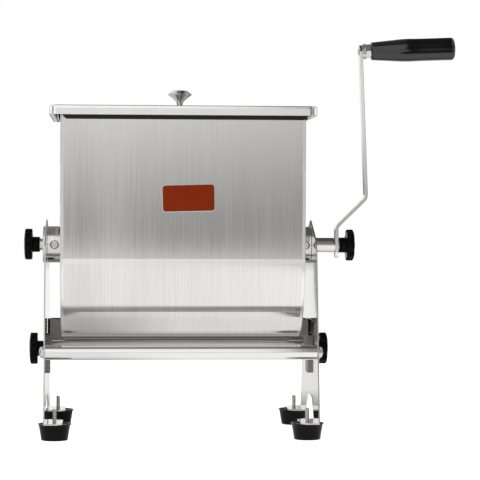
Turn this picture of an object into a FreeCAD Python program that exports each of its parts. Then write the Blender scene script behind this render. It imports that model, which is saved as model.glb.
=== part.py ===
import FreeCAD
import Part
import math
import os

# Manual meat mixer: a stainless tank hangs on two hubs between two leg plates.
# A crank on the right turns four paddles on a shaft along the tank.
# X runs along the shaft with the crank at +X, Y from front to back, Z up from the table.
# All sizes are millimetres. While it is built, X = 0 is midway between the leg plates.

Vector = FreeCAD.Vector

# Stock and fits
sheet = 1.2
face_gap = 0.3
running_gap = 0.08
thread_gap = 0.05
m8_radius = 4.0
m8_free_hole = 4.35
hole_run_out = 1.0

# Leg plates
leg_gap = 328.0
leg_thickness = 1.7
axle_height = 234.0
gable_rise = 31.0
gable_angle = 20.0
shoulder_half = 72.0
shoulder_round = 18.0
leg_past_foot = 25.7
arch_before_foot = 32.0
arch_top_half = 27.0
arch_rise = 26.0
arch_round = 12.0
tab_reach = 21.0
tab_corner = 8.0
tab_bend = 1.5

# Rubber feet and their studs
foot_height = 20.0
foot_top_radius = 20.0
foot_base_radius = 16.0
foot_edge = 1.2
foot_inset = 11.3
foot_spread = 88.0
foot_stud_radius = 2.5
foot_stud_rise = 17.0
foot_disc_radius = 9.0
foot_disc_thickness = 2.0
foot_disc_height = 8.0

# Tie tubes with a plug, a screw and a washer at each end
tie_height = 105.4
tie_spread = 88.0
tie_radius = 9.2
tie_wall = 1.5
tie_plug_length = 20.0
tie_screw_length = 14.0
tie_head_radius = 7.1
tie_head_height = 4.4
tie_head_fullness = 0.6
tie_socket_radius = 2.9
tie_socket_depth = 2.6
tie_washer_radius = 7.6
tie_washer_thickness = 1.2

# Tilt lock: a tapped block on each leg and a lug on each tank end
lock_drop = 129.5
block_thickness = 3.5
block_half = 15.0
block_below = 30.0
block_above = 18.5
block_round = 3.0
lug_thickness = 2.0
lug_half = 20.0
lug_below = 9.5
lug_round = 8.0
lug_flange_above = 16.0
lug_above = 37.0

# Star knobs, all four alike, each on an M8 stud with a washer under it
knob_radius = 19.5
knob_hub_radius = 9.5
knob_hub_length = 9.2
knob_head = 11.0
knob_dome = 1.8
knob_edge = 1.6
knob_hub_edge = 0.5
knob_lobes = 7
knob_flute_radius = 5.4
knob_flute_circle = 22.1
knob_lobe_angle = -90.0
pivot_lobe_angle = 0.0
knob_stud_grip = 12.0
knob_washer_radius = 8.0
knob_washer_thickness = 1.0
free_stud_length = 15.0

# Tank
tank_length = 295.0
tank_offset = 1.3
tank_half = 99.0
arc_drop = 15.6
rim_rise = 167.2
rim_flange = 7.3
rim_lip = 14.6
rim_inset = 2.8
rim_corner = 4.0
rim_bend = 1.5
end_rim_flange = 3.4

# Hubs with their collars, bushes, seals and set screws
hub_radius = 22.75
spigot_radius = 10.4
left_collar_radius = 22.5
right_collar_radius = 12.0
collar_thickness = 3.5
collar_edge = 0.5
bush_radius = 8.8
seal_radius = 12.0
seal_length = 4.0
set_screw_radius = 2.0
set_head_radius = 5.2
set_head_height = 2.2
set_head_round = 1.5
set_socket_radius = 1.5
set_socket_depth = 1.1
set_flat = 1.2

# Plain label plate on the front wall
label_width = 63.0
label_height = 32.5
label_thickness = 1.2
label_round = 4.0
label_side = 6.0
label_rise = 57.5
label_tilt = 1.4

# Lid and its knob
lid_length = 322.0
lid_gap = 0.5
lid_lip = 11.4
lid_corner = 9.0
lid_bend = 2.0
lid_knob_height = 24.3
lid_knob_radius = 15.0
lid_knob_rim_height = 18.8
lid_knob_shift = 1.4
lid_knob_neck = 3.8
lid_knob_base = 6.0
lid_knob_base_rim = 1.0
lid_knob_neck_low = 4.6
lid_knob_neck_top = 6.8
lid_knob_low_flare = 5.3
lid_knob_low_flare_height = 9.5
lid_knob_flare = 8.1
lid_knob_flare_height = 11.7
lid_knob_high_flare = 11.7
lid_knob_high_flare_height = 15.4
lid_knob_crown = 9.2
lid_knob_crown_height = 23.5
lid_knob_edge = 0.5
lid_knob_button = 0.3
lid_screw_radius = 2.0
lid_screw_grip = 10.0
lid_screw_head_radius = 4.5
lid_screw_head_height = 2.8

# Paddle shaft, pivot pin and drive shaft
journal_radius = 7.0
shaft_radius = 10.0
shaft_end_play = 2.0
pin_stand_out = 3.0
pin_thread_radius = 5.0
pin_thread_length = 15.0
sleeve_radius = 9.0
sleeve_length = 25.4
square_side = 10.0
square_relief = 0.2
tongue_side = 12.0
tongue_length = 16.0
cross_pin_radius = 2.0
cross_pin_recess = 0.5

# Paddles
paddle_count = 4
paddle_pitch = 70.0
paddle_sweep = 94.0
paddle_arm_width = 20.0
paddle_arm_thickness = 5.0
blade_width = 60.0
blade_height = 28.0
blade_thickness = 3.0
blade_twist = 30.0

# Crank arm
arm_thickness = 4.0
arm_width = 16.0
arm_below = 16.0
arm_lower_bend = 23.0
arm_upper_bend = 59.0
arm_joggle = 37.0
arm_lean = 2.3
arm_bend_radius = 8.0
arm_foot_round = 7.0
crank_radius = 242.9

# Grip and the bolt it turns on
bolt_radius = 5.0
bolt_dome_radius = 4.6
bolt_dome = 1.8
spring_washer_radius = 9.0
spring_washer_height = 2.6
spring_washer_slit = 1.5
spring_washer_pitch = 25.0
spring_washer_turn = 70.0
flat_washer_radius = 10.0
flat_washer_thickness = 1.6
nut_across_flats = 17.0
nut_height = 6.6
nut_chamfer = 1.0
grip_length = 105.5
grip_start_radius = 11.2
grip_belly_radius = 14.2
grip_belly_at = 42.0
grip_waist_radius = 14.0
grip_waist_at = 64.0
grip_end_radius = 14.1
grip_end_round = 3.4
grip_chamfer = 1.0
grip_pocket_radius = 8.8
grip_pocket_depth = 18.0
bolt_head_radius = 8.0
bolt_head_height = 6.0
cap_depth = 6.0

# Places worked out from the sizes above
leg_inner = leg_gap / 2
lock_height = axle_height - lock_drop
lug_top = lock_height + lug_above
leg_outer = leg_inner + leg_thickness
collar_end = leg_outer + face_gap + collar_thickness
rim_top = axle_height + rim_rise
arc_height = axle_height - arc_drop
foot_x = leg_inner - foot_inset
leg_foot_half = foot_spread + leg_past_foot
arch_foot_half = foot_spread - arch_before_foot
block_face = leg_inner - block_thickness
lug_face = block_face - face_gap
knob_length = knob_hub_length + knob_head
lid_knob_x = tank_offset - lid_knob_shift
sleeve_start = collar_end + face_gap
sleeve_end = sleeve_start + sleeve_length
lid_half = tank_half + rim_flange + lid_gap + sheet
grip_start = (arm_thickness / 2 + spring_washer_height + flat_washer_thickness
              + nut_height + face_gap)


def tank_end_x(side):
    """Outer face of the tank's end panel on one side."""
    return tank_offset + side * tank_length / 2


def rod(x0, x1, radius, y=0.0, z=axle_height):
    """A round bar along X."""
    return Part.makeCylinder(radius, abs(x1 - x0), Vector(min(x0, x1), y, z), Vector(1, 0, 0))


def ring(x0, x1, outer, inner, y=0.0, z=axle_height):
    return rod(x0, x1, outer, y, z).cut(rod(x0, x1, inner, y, z))


def block(x0, x1, y0, y1, z0, z1):
    return Part.makeBox(abs(x1 - x0), abs(y1 - y0), abs(z1 - z0),
                        Vector(min(x0, x1), min(y0, y1), min(z0, z1)))


def square_bar(x0, x1, side_length):
    half = side_length / 2
    return block(x0, x1, -half, half, axle_height - half, axle_height + half)


def slab(points, direction):
    """A flat outline, pushed along a direction."""
    wire = Part.makePolygon(points + [points[0]])
    return Part.Face(wire).extrude(direction)


def turned(profile, centre, axis):
    """A turned piece: profile points are (distance along the axis, radius)."""
    points = [Vector(along, radius, 0) for along, radius in profile]
    face = Part.Face(Part.makePolygon(points + [points[0]]))
    solid = face.revolve(Vector(0, 0, 0), Vector(1, 0, 0), 360)
    turn = FreeCAD.Rotation(Vector(1, 0, 0), axis)
    solid.Placement = FreeCAD.Placement(centre, turn)
    return Part.makeSolid(solid) if solid.ShapeType != "Solid" else solid


def arc_points(along, radius, size, start, end, steps=6):
    """Points of a round edge of a turned piece, from one angle to another."""
    angles = [math.radians(start + (end - start) * i / steps) for i in range(steps + 1)]
    return [(along + size * math.sin(a), radius + size * math.cos(a)) for a in angles]


def edges_where(shape, test):
    return [edge for edge in shape.Edges if test(edge.BoundBox)]


def tank_section(half, x0, x1):
    """The tank's U section, rim to rim, as one solid block along X."""
    left = Vector(x0, -half, rim_top)
    low_left = Vector(x0, -half, arc_height)
    bottom = Vector(x0, 0, arc_height - half)
    low_right = Vector(x0, half, arc_height)
    right = Vector(x0, half, rim_top)
    wire = Part.Wire([
        Part.makeLine(left, low_left),
        Part.Arc(low_left, bottom, low_right).toShape(),
        Part.makeLine(low_right, right),
        Part.makeLine(right, left),
    ])
    return Part.Face(wire).extrude(Vector(x1 - x0, 0, 0))


def make_leg(side):
    """Bright sheet plate: gabled top, arch between the feet and two tabs bent inwards."""
    slope = math.tan(math.radians(gable_angle))
    peak = axle_height + gable_rise
    shoulder = peak - shoulder_half * slope
    outline = [(0, peak), (-shoulder_half, shoulder), (-leg_foot_half, foot_height),
               (-arch_foot_half, foot_height), (-arch_top_half, foot_height + arch_rise),
               (arch_top_half, foot_height + arch_rise), (arch_foot_half, foot_height),
               (leg_foot_half, foot_height), (shoulder_half, shoulder)]
    plate = slab([Vector(side * leg_inner, y, z) for y, z in outline],
                 Vector(side * leg_thickness, 0, 0))
    shoulders = edges_where(plate, lambda box: box.YLength < 0.01 and box.ZLength < 0.01
                            and abs(abs(box.YMin) - shoulder_half) < 0.01)
    plate = plate.makeFillet(shoulder_round, shoulders)
    crown = edges_where(plate, lambda box: box.YLength < 0.01 and box.ZLength < 0.01
                        and abs(abs(box.YMin) - arch_top_half) < 0.01)
    plate = plate.makeFillet(arch_round, crown)
    tab_end = leg_inner - tab_reach
    for end in (-1, 1):
        near = arch_foot_half
        far = leg_foot_half
        corners = [(leg_outer, near), (tab_end + tab_corner, near), (tab_end, near + tab_corner),
                   (tab_end, far - tab_corner), (tab_end + tab_corner, far), (leg_outer, far)]
        tab = slab([Vector(side * x, end * y, foot_height) for x, y in corners],
                   Vector(0, 0, leg_thickness))
        plate = plate.fuse(tab)
        plate = plate.cut(Part.makeCylinder(foot_stud_radius + thread_gap, leg_thickness,
                                            Vector(side * foot_x, end * foot_spread, foot_height)))
        plate = plate.cut(rod(side * leg_inner, side * leg_outer, m8_free_hole,
                              end * tie_spread, tie_height))
    plate = plate.removeSplitter()
    tab_width = leg_foot_half - arch_foot_half
    bend = edges_where(plate, lambda box: box.XLength < 0.01 and box.ZLength < 0.01
                       and box.YLength > tab_width / 2 and abs(box.ZMin - foot_height) < 0.01
                       and abs(abs(box.XMin) - leg_outer) < 0.01)
    plate = plate.makeFillet(tab_bend, bend)
    plate = plate.cut(rod(side * leg_inner, side * leg_outer, spigot_radius + running_gap))
    return plate.cut(rod(side * leg_inner, side * leg_outer, m8_free_hole, 0, lock_height))


def make_lock_block(side):
    """Tapped block welded to the leg's inner face, which the lock stud screws through."""
    body = block(side * block_face, side * leg_inner, -block_half, block_half,
                 lock_height - block_below, lock_height + block_above)
    corners = edges_where(body, lambda box: box.YLength < 0.01 and box.ZLength < 0.01)
    body = body.makeFillet(block_round, corners)
    return body.cut(rod(side * block_face, side * leg_inner, m8_radius + thread_gap, 0, lock_height))


def make_foot(x, y):
    """Tapered rubber foot moulded round the disc of its stud."""
    foot = Part.makeCone(foot_base_radius, foot_top_radius, foot_height, Vector(x, y, 0))
    rims = edges_where(foot, lambda box: box.ZLength < 0.01 and box.XLength > foot_base_radius)
    foot = foot.makeFillet(foot_edge, rims)
    return foot.cut(make_foot_stud(x, y))


def make_foot_stud(x, y):
    disc_base = foot_disc_height - foot_disc_thickness
    disc = Part.makeCylinder(foot_disc_radius, foot_disc_thickness, Vector(x, y, disc_base))
    stud = Part.makeCylinder(foot_stud_radius, foot_height + foot_stud_rise - foot_disc_height,
                             Vector(x, y, foot_disc_height))
    return disc.fuse(stud).removeSplitter()


def make_tie_tube(end):
    return ring(-leg_inner, leg_inner, tie_radius, tie_radius - tie_wall,
                end * tie_spread, tie_height)


def make_tie_plug(side, end):
    """Tapped plug welded into the end of a tie tube."""
    return ring(side * leg_inner, side * (leg_inner - tie_plug_length), tie_radius - tie_wall,
                m8_radius, end * tie_spread, tie_height)


def make_tie_washer(side, end):
    return ring(side * leg_outer, side * (leg_outer + tie_washer_thickness), tie_washer_radius,
                m8_free_hole, end * tie_spread, tie_height)


def make_tie_screw(side, end):
    """Button head screw with a hexagon socket."""
    seat = leg_outer + tie_washer_thickness
    dome = [(0, 0), (0, tie_head_radius)]
    steps = 7
    for step in range(1, steps):
        turn = math.radians(90 * step / steps)
        dome.append((tie_head_height * math.sin(turn),
                     tie_head_radius * math.cos(turn) ** tie_head_fullness))
    dome.append((tie_head_height, 0))
    centre = Vector(side * seat, end * tie_spread, tie_height)
    head = turned(dome, centre, Vector(side, 0, 0))
    socket = hexagon(tie_socket_radius, tie_socket_depth, centre, side, tie_head_height)
    shank = rod(side * seat, side * (seat - tie_screw_length), m8_radius,
                end * tie_spread, tie_height)
    return head.cut(socket).fuse(shank).removeSplitter()


def hexagon(radius, depth, centre, side, height):
    """A hexagonal prism that ends at a height above a centre, along X."""
    x0 = centre.x + side * (height - depth)
    points = []
    for corner in range(6):
        turn = math.radians(60 * corner)
        points.append(Vector(x0, centre.y + radius * math.cos(turn),
                             centre.z + radius * math.sin(turn)))
    return slab(points, Vector(side * depth, 0, 0))


def make_tank_wrap():
    """One sheet bent to a U, with a flange and a turned-down lip along front and back."""
    x0 = tank_end_x(-1) + sheet
    x1 = tank_end_x(1) - sheet
    wrap = tank_section(tank_half, x0, x1).cut(tank_section(tank_half - sheet, x0, x1))
    lip_out = tank_half + rim_flange
    rim_x0 = tank_end_x(-1) + rim_inset
    rim_x1 = tank_end_x(1) - rim_inset
    for end in (-1, 1):
        flange = block(rim_x0, rim_x1, end * (tank_half - sheet), end * lip_out,
                       rim_top - sheet, rim_top)
        low = rim_top - rim_lip
        corners = [(rim_x0, rim_top), (rim_x0, low + rim_corner), (rim_x0 + rim_corner, low),
                   (rim_x1 - rim_corner, low), (rim_x1, low + rim_corner), (rim_x1, rim_top)]
        lip = slab([Vector(x, end * (lip_out - sheet), z) for x, z in corners],
                   Vector(0, end * sheet, 0))
        fold = flange.fuse(lip).removeSplitter()
        bend = edges_where(fold, lambda box: box.YLength < 0.01 and box.ZLength < 0.01
                           and box.XLength > tank_length / 2 and abs(abs(box.YMin) - lip_out) < 0.01
                           and abs(box.ZMin - rim_top) < 0.01)
        fold = fold.makeFillet(rim_bend, bend)
        wrap = wrap.fuse(fold)
    return wrap.removeSplitter()


def make_tank_end(side):
    """Flat end panel with a hole for the hub and a narrow folded edge along its top."""
    outer = tank_end_x(side)
    panel = tank_section(tank_half, outer, outer - side * sheet)
    lip_x = outer + side * end_rim_flange
    half = tank_half - rim_inset
    flange = block(outer - side * sheet, lip_x, -half, half, rim_top - sheet, rim_top)
    lip = block(lip_x, lip_x - side * sheet, -half, half, rim_top - rim_lip, rim_top)
    panel = panel.fuse(flange).fuse(lip)
    panel = panel.cut(rod(outer, outer - side * sheet, seal_radius))
    return panel.removeSplitter()


def hub_screw_x(side):
    return (tank_end_x(side) + side * (leg_inner - face_gap)) / 2


def make_hub(side):
    """Turned hub welded to the tank's end, with a spigot that turns in the leg's hole."""
    inner = tank_end_x(side)
    drum_end = side * (leg_inner - face_gap)
    hub = rod(inner, drum_end, hub_radius)
    hub = hub.fuse(rod(drum_end, side * collar_end, spigot_radius))
    hub = hub.cut(rod(inner, side * collar_end, bush_radius))
    hub = hub.cut(rod(inner, inner + side * seal_length, seal_radius))
    x = hub_screw_x(side)
    spot = Part.makeCylinder(set_head_radius + face_gap, hub_radius,
                             Vector(x, -(hub_radius - set_flat), axle_height), Vector(0, -1, 0))
    thread = Part.makeCylinder(set_screw_radius, hub_radius,
                               Vector(x, 0, axle_height), Vector(0, -1, 0))
    return hub.cut(spot).cut(thread).removeSplitter()


def make_set_screw(side):
    """Button head screw that holds the bush in the hub."""
    seat = -(hub_radius - set_flat)
    x = hub_screw_x(side)
    head = Part.makeCylinder(set_head_radius, set_head_height,
                             Vector(x, seat, axle_height), Vector(0, -1, 0))
    rim = edges_where(head, lambda box: box.YLength < 0.01 and box.XLength > set_head_radius
                      and box.YMax < seat - set_head_height / 2)
    head = head.makeFillet(set_head_round, rim)
    shank = Part.makeCylinder(set_screw_radius, -seat - bush_radius,
                              Vector(x, seat, axle_height), Vector(0, 1, 0))
    socket = Part.makeCylinder(set_socket_radius, set_socket_depth,
                               Vector(x, seat - set_head_height, axle_height), Vector(0, 1, 0))
    screw = head.fuse(shank).cut(socket).removeSplitter()
    return screw.cut(rod(x - set_head_radius, x + set_head_radius, bush_radius))


def make_collar(side, radius):
    """Collar on the spigot's end, outside the leg."""
    collar = ring(side * (leg_outer + face_gap), side * collar_end, radius, spigot_radius)
    rims = edges_where(collar, lambda box: box.XLength < 0.01
                       and box.YLength > spigot_radius + radius)
    return collar.makeFillet(collar_edge, rims)


def make_bush(side):
    inner = tank_end_x(side) + side * seal_length
    return ring(inner, side * collar_end, bush_radius, journal_radius + running_gap)


def make_seal(side):
    inner = tank_end_x(side)
    return ring(inner, inner + side * seal_length, seal_radius, journal_radius + running_gap)


def make_lug(side):
    """Bent bracket on the tank's end, whose web the lock stud presses on."""
    face = side * lug_face
    back = side * (lug_face - lug_thickness)
    bottom = lock_height - lug_below
    web = block(face, back, -lug_half, lug_half, bottom, lug_top)
    low = edges_where(web, lambda box: box.YLength < 0.01 and box.ZLength < 0.01
                      and abs(box.ZMin - bottom) < 0.01)
    web = web.makeFillet(lug_round, low)
    for end in (-1, 1):
        flange = block(back, tank_end_x(side), end * lug_half, end * (lug_half - lug_thickness),
                       lock_height + lug_flange_above, lug_top)
        web = web.fuse(flange)
    return web.removeSplitter()


def make_label():
    """Bare plate with round corners, stuck on the front wall a little out of level."""
    centre = Vector(tank_offset + label_side, -tank_half, axle_height + label_rise)
    plate = Part.makeBox(label_width, label_thickness, label_height,
                         Vector(-label_width / 2, -label_thickness, -label_height / 2))
    corners = edges_where(plate, lambda box: box.XLength < 0.01 and box.ZLength < 0.01)
    plate = plate.makeFillet(label_round, corners)
    turn = FreeCAD.Rotation(Vector(0, 1, 0), -label_tilt)
    plate.Placement = FreeCAD.Placement(centre, turn)
    return plate


def make_lid():
    """Shallow tray of sheet, lips down, that sits over the tank's rim."""
    x0 = tank_offset - lid_length / 2
    x1 = tank_offset + lid_length / 2
    low = rim_top - lid_lip + sheet
    top = rim_top + sheet
    outer = block(x0, x1, -lid_half, lid_half, low, top)
    corners = edges_where(outer, lambda box: box.XLength < 0.01 and box.YLength < 0.01)
    outer = outer.makeFillet(lid_corner, corners)
    crown = edges_where(outer, lambda box: box.ZLength < 0.01 and abs(box.ZMin - top) < 0.01)
    outer = outer.makeFillet(lid_bend, crown)
    inner = block(x0 + sheet, x1 - sheet, -lid_half + sheet, lid_half - sheet, low, rim_top)
    corners = edges_where(inner, lambda box: box.XLength < 0.01 and box.YLength < 0.01)
    inner = inner.makeFillet(lid_corner - sheet, corners)
    lid = outer.cut(inner)
    return lid.cut(Part.makeCylinder(lid_screw_radius, sheet, Vector(lid_knob_x, 0, rim_top)))


def make_lid_knob():
    """Turned mushroom knob: flared base, thin neck and a domed cap."""
    rim = lid_knob_rim_height
    edge = lid_knob_edge
    profile = [(0, 0), (0, lid_knob_base), (lid_knob_base_rim, lid_knob_base),
               (lid_knob_neck_low, lid_knob_neck), (lid_knob_neck_top, lid_knob_neck),
               (lid_knob_low_flare_height, lid_knob_low_flare),
               (lid_knob_flare_height, lid_knob_flare),
               (lid_knob_high_flare_height, lid_knob_high_flare)]
    profile += arc_points(rim, lid_knob_radius - edge, edge, -60, 60)
    profile += [(lid_knob_crown_height, lid_knob_crown),
                (lid_knob_height - lid_knob_button, lid_knob_crown / 2), (lid_knob_height, 0)]
    knob = turned(profile, Vector(lid_knob_x, 0, rim_top + sheet), Vector(0, 0, 1))
    hole = Part.makeCylinder(lid_screw_radius, lid_screw_grip,
                             Vector(lid_knob_x, 0, rim_top + sheet))
    return knob.cut(hole)


def make_lid_screw():
    """Flange head screw from below the lid into its knob."""
    head = Part.makeCylinder(lid_screw_head_radius, lid_screw_head_height,
                             Vector(lid_knob_x, 0, rim_top - lid_screw_head_height))
    shank = Part.makeCylinder(lid_screw_radius, sheet + lid_screw_grip,
                              Vector(lid_knob_x, 0, rim_top))
    return head.fuse(shank).removeSplitter()


def shaft_end_x(side):
    """End of the paddle shaft, just inside the tank's end panel."""
    return tank_end_x(side) - side * (sheet + shaft_end_play)


def cross_pin_x():
    return shaft_end_x(1) - tongue_length / 2


def make_cross_pin():
    half = shaft_radius - cross_pin_recess
    return Part.makeCylinder(cross_pin_radius, 2 * half,
                             Vector(cross_pin_x(), 0, axle_height - half))


def cross_pin_hole():
    return Part.makeCylinder(cross_pin_radius, 2 * shaft_radius,
                             Vector(cross_pin_x(), 0, axle_height - shaft_radius))


def make_paddle_shaft():
    """Round bar with a tapped hole on the left and a square socket on the right."""
    left = shaft_end_x(-1)
    right = shaft_end_x(1)
    bar = rod(left, right, shaft_radius)
    bar = bar.cut(rod(left, left + pin_thread_length, pin_thread_radius))
    bar = bar.cut(square_bar(right, right - tongue_length, tongue_side))
    return bar.cut(cross_pin_hole())


def paddle_place(index):
    return tank_offset + (index - (paddle_count - 1) / 2) * paddle_pitch


def make_paddle(index):
    """Flat arm welded to the shaft, with a twisted blade across its end."""
    x = paddle_place(index)
    arm_top = paddle_sweep - blade_height / 2
    arm = block(x - paddle_arm_width / 2, x + paddle_arm_width / 2,
                -paddle_arm_thickness / 2, paddle_arm_thickness / 2,
                axle_height, axle_height + arm_top)
    blade = Part.makeBox(blade_width, blade_thickness, blade_height,
                         Vector(-blade_width / 2, -blade_thickness / 2, 0))
    twist = blade_twist if index % 2 else -blade_twist
    blade.Placement = FreeCAD.Placement(Vector(x, 0, axle_height + paddle_sweep - blade_height),
                                        FreeCAD.Rotation(Vector(0, 0, 1), twist))
    paddle = arm.fuse(blade)
    sweep = rod(x - blade_width, x + blade_width, paddle_sweep)
    bar = rod(x - blade_width, x + blade_width, shaft_radius)
    paddle = paddle.common(sweep).cut(bar).removeSplitter()
    paddle.rotate(Vector(x, 0, axle_height), Vector(1, 0, 0), 360 * index / paddle_count)
    return paddle


def make_pivot_pin():
    """Pin through the left bush, screwed into the paddle shaft."""
    inner = shaft_end_x(-1)
    outer = -(collar_end + pin_stand_out)
    pin = rod(outer, inner, journal_radius)
    pin = pin.fuse(rod(inner, inner + pin_thread_length, pin_thread_radius))
    hole = rod(outer, outer + free_stud_length + hole_run_out, m8_radius + thread_gap)
    return pin.cut(hole).removeSplitter()


def make_drive_shaft():
    """Shaft through the right bush: tongue, journal, thick sleeve and square end."""
    inner = shaft_end_x(1)
    square_end = sleeve_end + arm_thickness - square_relief
    shaft = square_bar(inner, inner - tongue_length, tongue_side)
    shaft = shaft.fuse(rod(inner, sleeve_start, journal_radius))
    shaft = shaft.fuse(rod(sleeve_start, sleeve_end, sleeve_radius))
    shaft = shaft.fuse(square_bar(sleeve_end, square_end, square_side))
    hole_end = sleeve_end + arm_thickness + knob_washer_thickness - free_stud_length
    shaft = shaft.cut(rod(hole_end - hole_run_out, square_end, m8_radius + thread_gap))
    return shaft.cut(cross_pin_hole()).removeSplitter()


def arm_line():
    """Middle line of the crank arm in X and Z: two bends, then a lean inwards."""
    x = sleeve_end + arm_thickness / 2
    knee_x = x + arm_joggle
    knee_z = axle_height + arm_upper_bend
    top_z = axle_height + crank_radius + arm_width / 2
    top_x = knee_x - math.tan(math.radians(arm_lean)) * (top_z - knee_z)
    return [(x, axle_height - arm_below), (x, axle_height + arm_lower_bend),
            (knee_x, knee_z), (top_x, top_z)]


def grip_centre():
    """Where the grip's axis crosses the middle line of the arm."""
    knee_x, knee_z = arm_line()[2]
    z = axle_height + crank_radius
    return Vector(knee_x - math.tan(math.radians(arm_lean)) * (z - knee_z), 0, z)


def on_grip(shape):
    """Puts a piece made along X from the arm onto the grip's leaning axis."""
    turn = FreeCAD.Rotation(Vector(0, 1, 0), -arm_lean)
    shape.Placement = FreeCAD.Placement(grip_centre(), turn).multiply(shape.Placement)
    return shape


def grip_rod(s0, s1, radius):
    return Part.makeCylinder(radius, s1 - s0, Vector(s0, 0, 0), Vector(1, 0, 0))


def side_point(before, here, after, offset):
    """Corner of a line's parallel at a given offset."""
    def unit(a, b):
        length = math.hypot(b[0] - a[0], b[1] - a[1])
        return (b[0] - a[0]) / length, (b[1] - a[1]) / length
    first = unit(before, here) if before else unit(here, after)
    second = unit(here, after) if after else first
    normal = (-(first[1] + second[1]) / 2, (first[0] + second[0]) / 2)
    scale = offset / (normal[0] ** 2 + normal[1] ** 2)
    return Vector(here[0] + normal[0] * scale, -arm_width / 2, here[1] + normal[1] * scale)


def make_crank_arm():
    """Flat bar bent outwards, with a square hole below and a round one at the top."""
    line = arm_line()
    half = arm_thickness / 2
    befores = [None] + line[:-1]
    afters = line[1:] + [None]
    left = [side_point(b, p, a, half) for b, p, a in zip(befores, line, afters)]
    right = [side_point(b, p, a, -half) for b, p, a in zip(befores, line, afters)]
    bar = slab(left + right[::-1], Vector(0, arm_width, 0))
    inner = (right[1], left[2])
    outer = (left[1], right[2])
    for points, radius in ((inner, arm_bend_radius), (outer, arm_bend_radius + arm_thickness)):
        bends = edges_where(bar, lambda box: box.YLength > arm_width - 0.1 and any(
            abs(box.XMin - p.x) < 0.01 and abs(box.ZMin - p.z) < 0.01 for p in points))
        bar = bar.makeFillet(radius, bends)
    low = line[0][1]
    high = axle_height + crank_radius
    reach = arm_joggle + arm_thickness * 4
    x0 = line[0][0] - arm_thickness * 2
    outline = block(x0, x0 + reach, -arm_width / 2, arm_width / 2, low, high)
    corners = edges_where(outline, lambda box: box.YLength < 0.01 and box.ZLength < 0.01
                          and abs(box.ZMin - low) < 0.01)
    outline = outline.makeFillet(arm_foot_round, corners)
    outline = outline.fuse(rod(x0, x0 + reach, arm_width / 2, 0, high))
    bar = bar.common(outline)
    bar = bar.cut(square_bar(sleeve_end, sleeve_end + arm_thickness, square_side))
    return bar.cut(on_grip(grip_rod(-arm_thickness, arm_thickness, bolt_radius))).removeSplitter()


def make_grip_bolt():
    """Bolt through arm and grip; its inner end is peened to a low dome."""
    face = arm_thickness / 2
    head_at = grip_start + grip_length - grip_pocket_depth + face_gap
    dome = [(0, 0), (0, bolt_dome_radius), (bolt_dome * 0.5, bolt_dome_radius * 0.9),
            (bolt_dome * 0.85, bolt_dome_radius * 0.6), (bolt_dome, 0)]
    bolt = turned(dome, Vector(-face, 0, 0), Vector(-1, 0, 0))
    bolt = bolt.fuse(grip_rod(-face, head_at, bolt_radius))
    bolt = bolt.fuse(grip_rod(head_at, head_at + bolt_head_height, bolt_head_radius))
    return on_grip(bolt.removeSplitter())


def make_spring_washer():
    """Split washer, seen as a slanted gap beside the arm."""
    start = arm_thickness / 2
    washer = grip_rod(start, start + spring_washer_height, spring_washer_radius)
    washer = washer.cut(grip_rod(start, start + spring_washer_height, bolt_radius))
    slit = Part.makeBox(spring_washer_height * 3, spring_washer_slit, spring_washer_radius + 1,
                        Vector(-spring_washer_height, -spring_washer_slit / 2, 0))
    slit.rotate(Vector(0, 0, 0), Vector(0, 0, 1), spring_washer_pitch)
    slit.rotate(Vector(0, 0, 0), Vector(1, 0, 0), spring_washer_turn)
    slit.translate(Vector(start, 0, 0))
    return on_grip(washer.cut(slit))


def make_flat_washer():
    start = arm_thickness / 2 + spring_washer_height
    washer = grip_rod(start, start + flat_washer_thickness, flat_washer_radius)
    return on_grip(washer.cut(grip_rod(start, start + flat_washer_thickness, bolt_radius)))


def make_grip_nut():
    """Hexagon nut with one corner towards the front, chamfered at both ends."""
    start = arm_thickness / 2 + spring_washer_height + flat_washer_thickness
    corner = nut_across_flats / 2 / math.cos(math.radians(30))
    nut = hexagon(corner, nut_height, Vector(start, 0, 0), 1, nut_height)
    chamfered = turned([(0, 0), (0, nut_across_flats / 2), (nut_chamfer, corner),
                        (nut_height - nut_chamfer, corner), (nut_height, nut_across_flats / 2),
                        (nut_height, 0)], Vector(start, 0, 0), Vector(1, 0, 0))
    nut = nut.common(chamfered)
    return on_grip(nut.cut(grip_rod(start, start + nut_height, bolt_radius)))


def grip_body():
    """The grip's outer form: a slim neck, a belly and a rounded end."""
    end = grip_length - grip_end_round
    side = Part.BSplineCurve()
    side.interpolate([Vector(grip_chamfer, grip_start_radius, 0),
                      Vector(grip_belly_at / 2, (grip_start_radius + grip_belly_radius) / 2, 0),
                      Vector(grip_belly_at, grip_belly_radius, 0),
                      Vector(grip_waist_at, grip_waist_radius, 0),
                      Vector(end, grip_end_radius, 0)])
    shoulder = Vector(grip_length - grip_end_round * 0.35,
                      grip_end_radius - grip_end_round * 0.35, 0)
    tip = Vector(grip_length, grip_end_radius - grip_end_round * 1.6, 0)
    lines = [
        Part.makeLine(Vector(0, 0, 0), Vector(0, grip_start_radius - grip_chamfer, 0)),
        Part.makeLine(Vector(0, grip_start_radius - grip_chamfer, 0),
                      Vector(grip_chamfer, grip_start_radius, 0)),
        side.toShape(),
        Part.Arc(Vector(end, grip_end_radius, 0), shoulder, tip).toShape(),
        Part.makeLine(tip, Vector(grip_length, 0, 0)),
        Part.makeLine(Vector(grip_length, 0, 0), Vector(0, 0, 0)),
    ]
    body = Part.Face(Part.Wire(lines)).revolve(Vector(0, 0, 0), Vector(1, 0, 0), 360)
    body.translate(Vector(grip_start, 0, 0))
    return body


def cap_plug():
    end = grip_start + grip_length
    return grip_rod(end - cap_depth, end, grip_pocket_radius)


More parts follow.
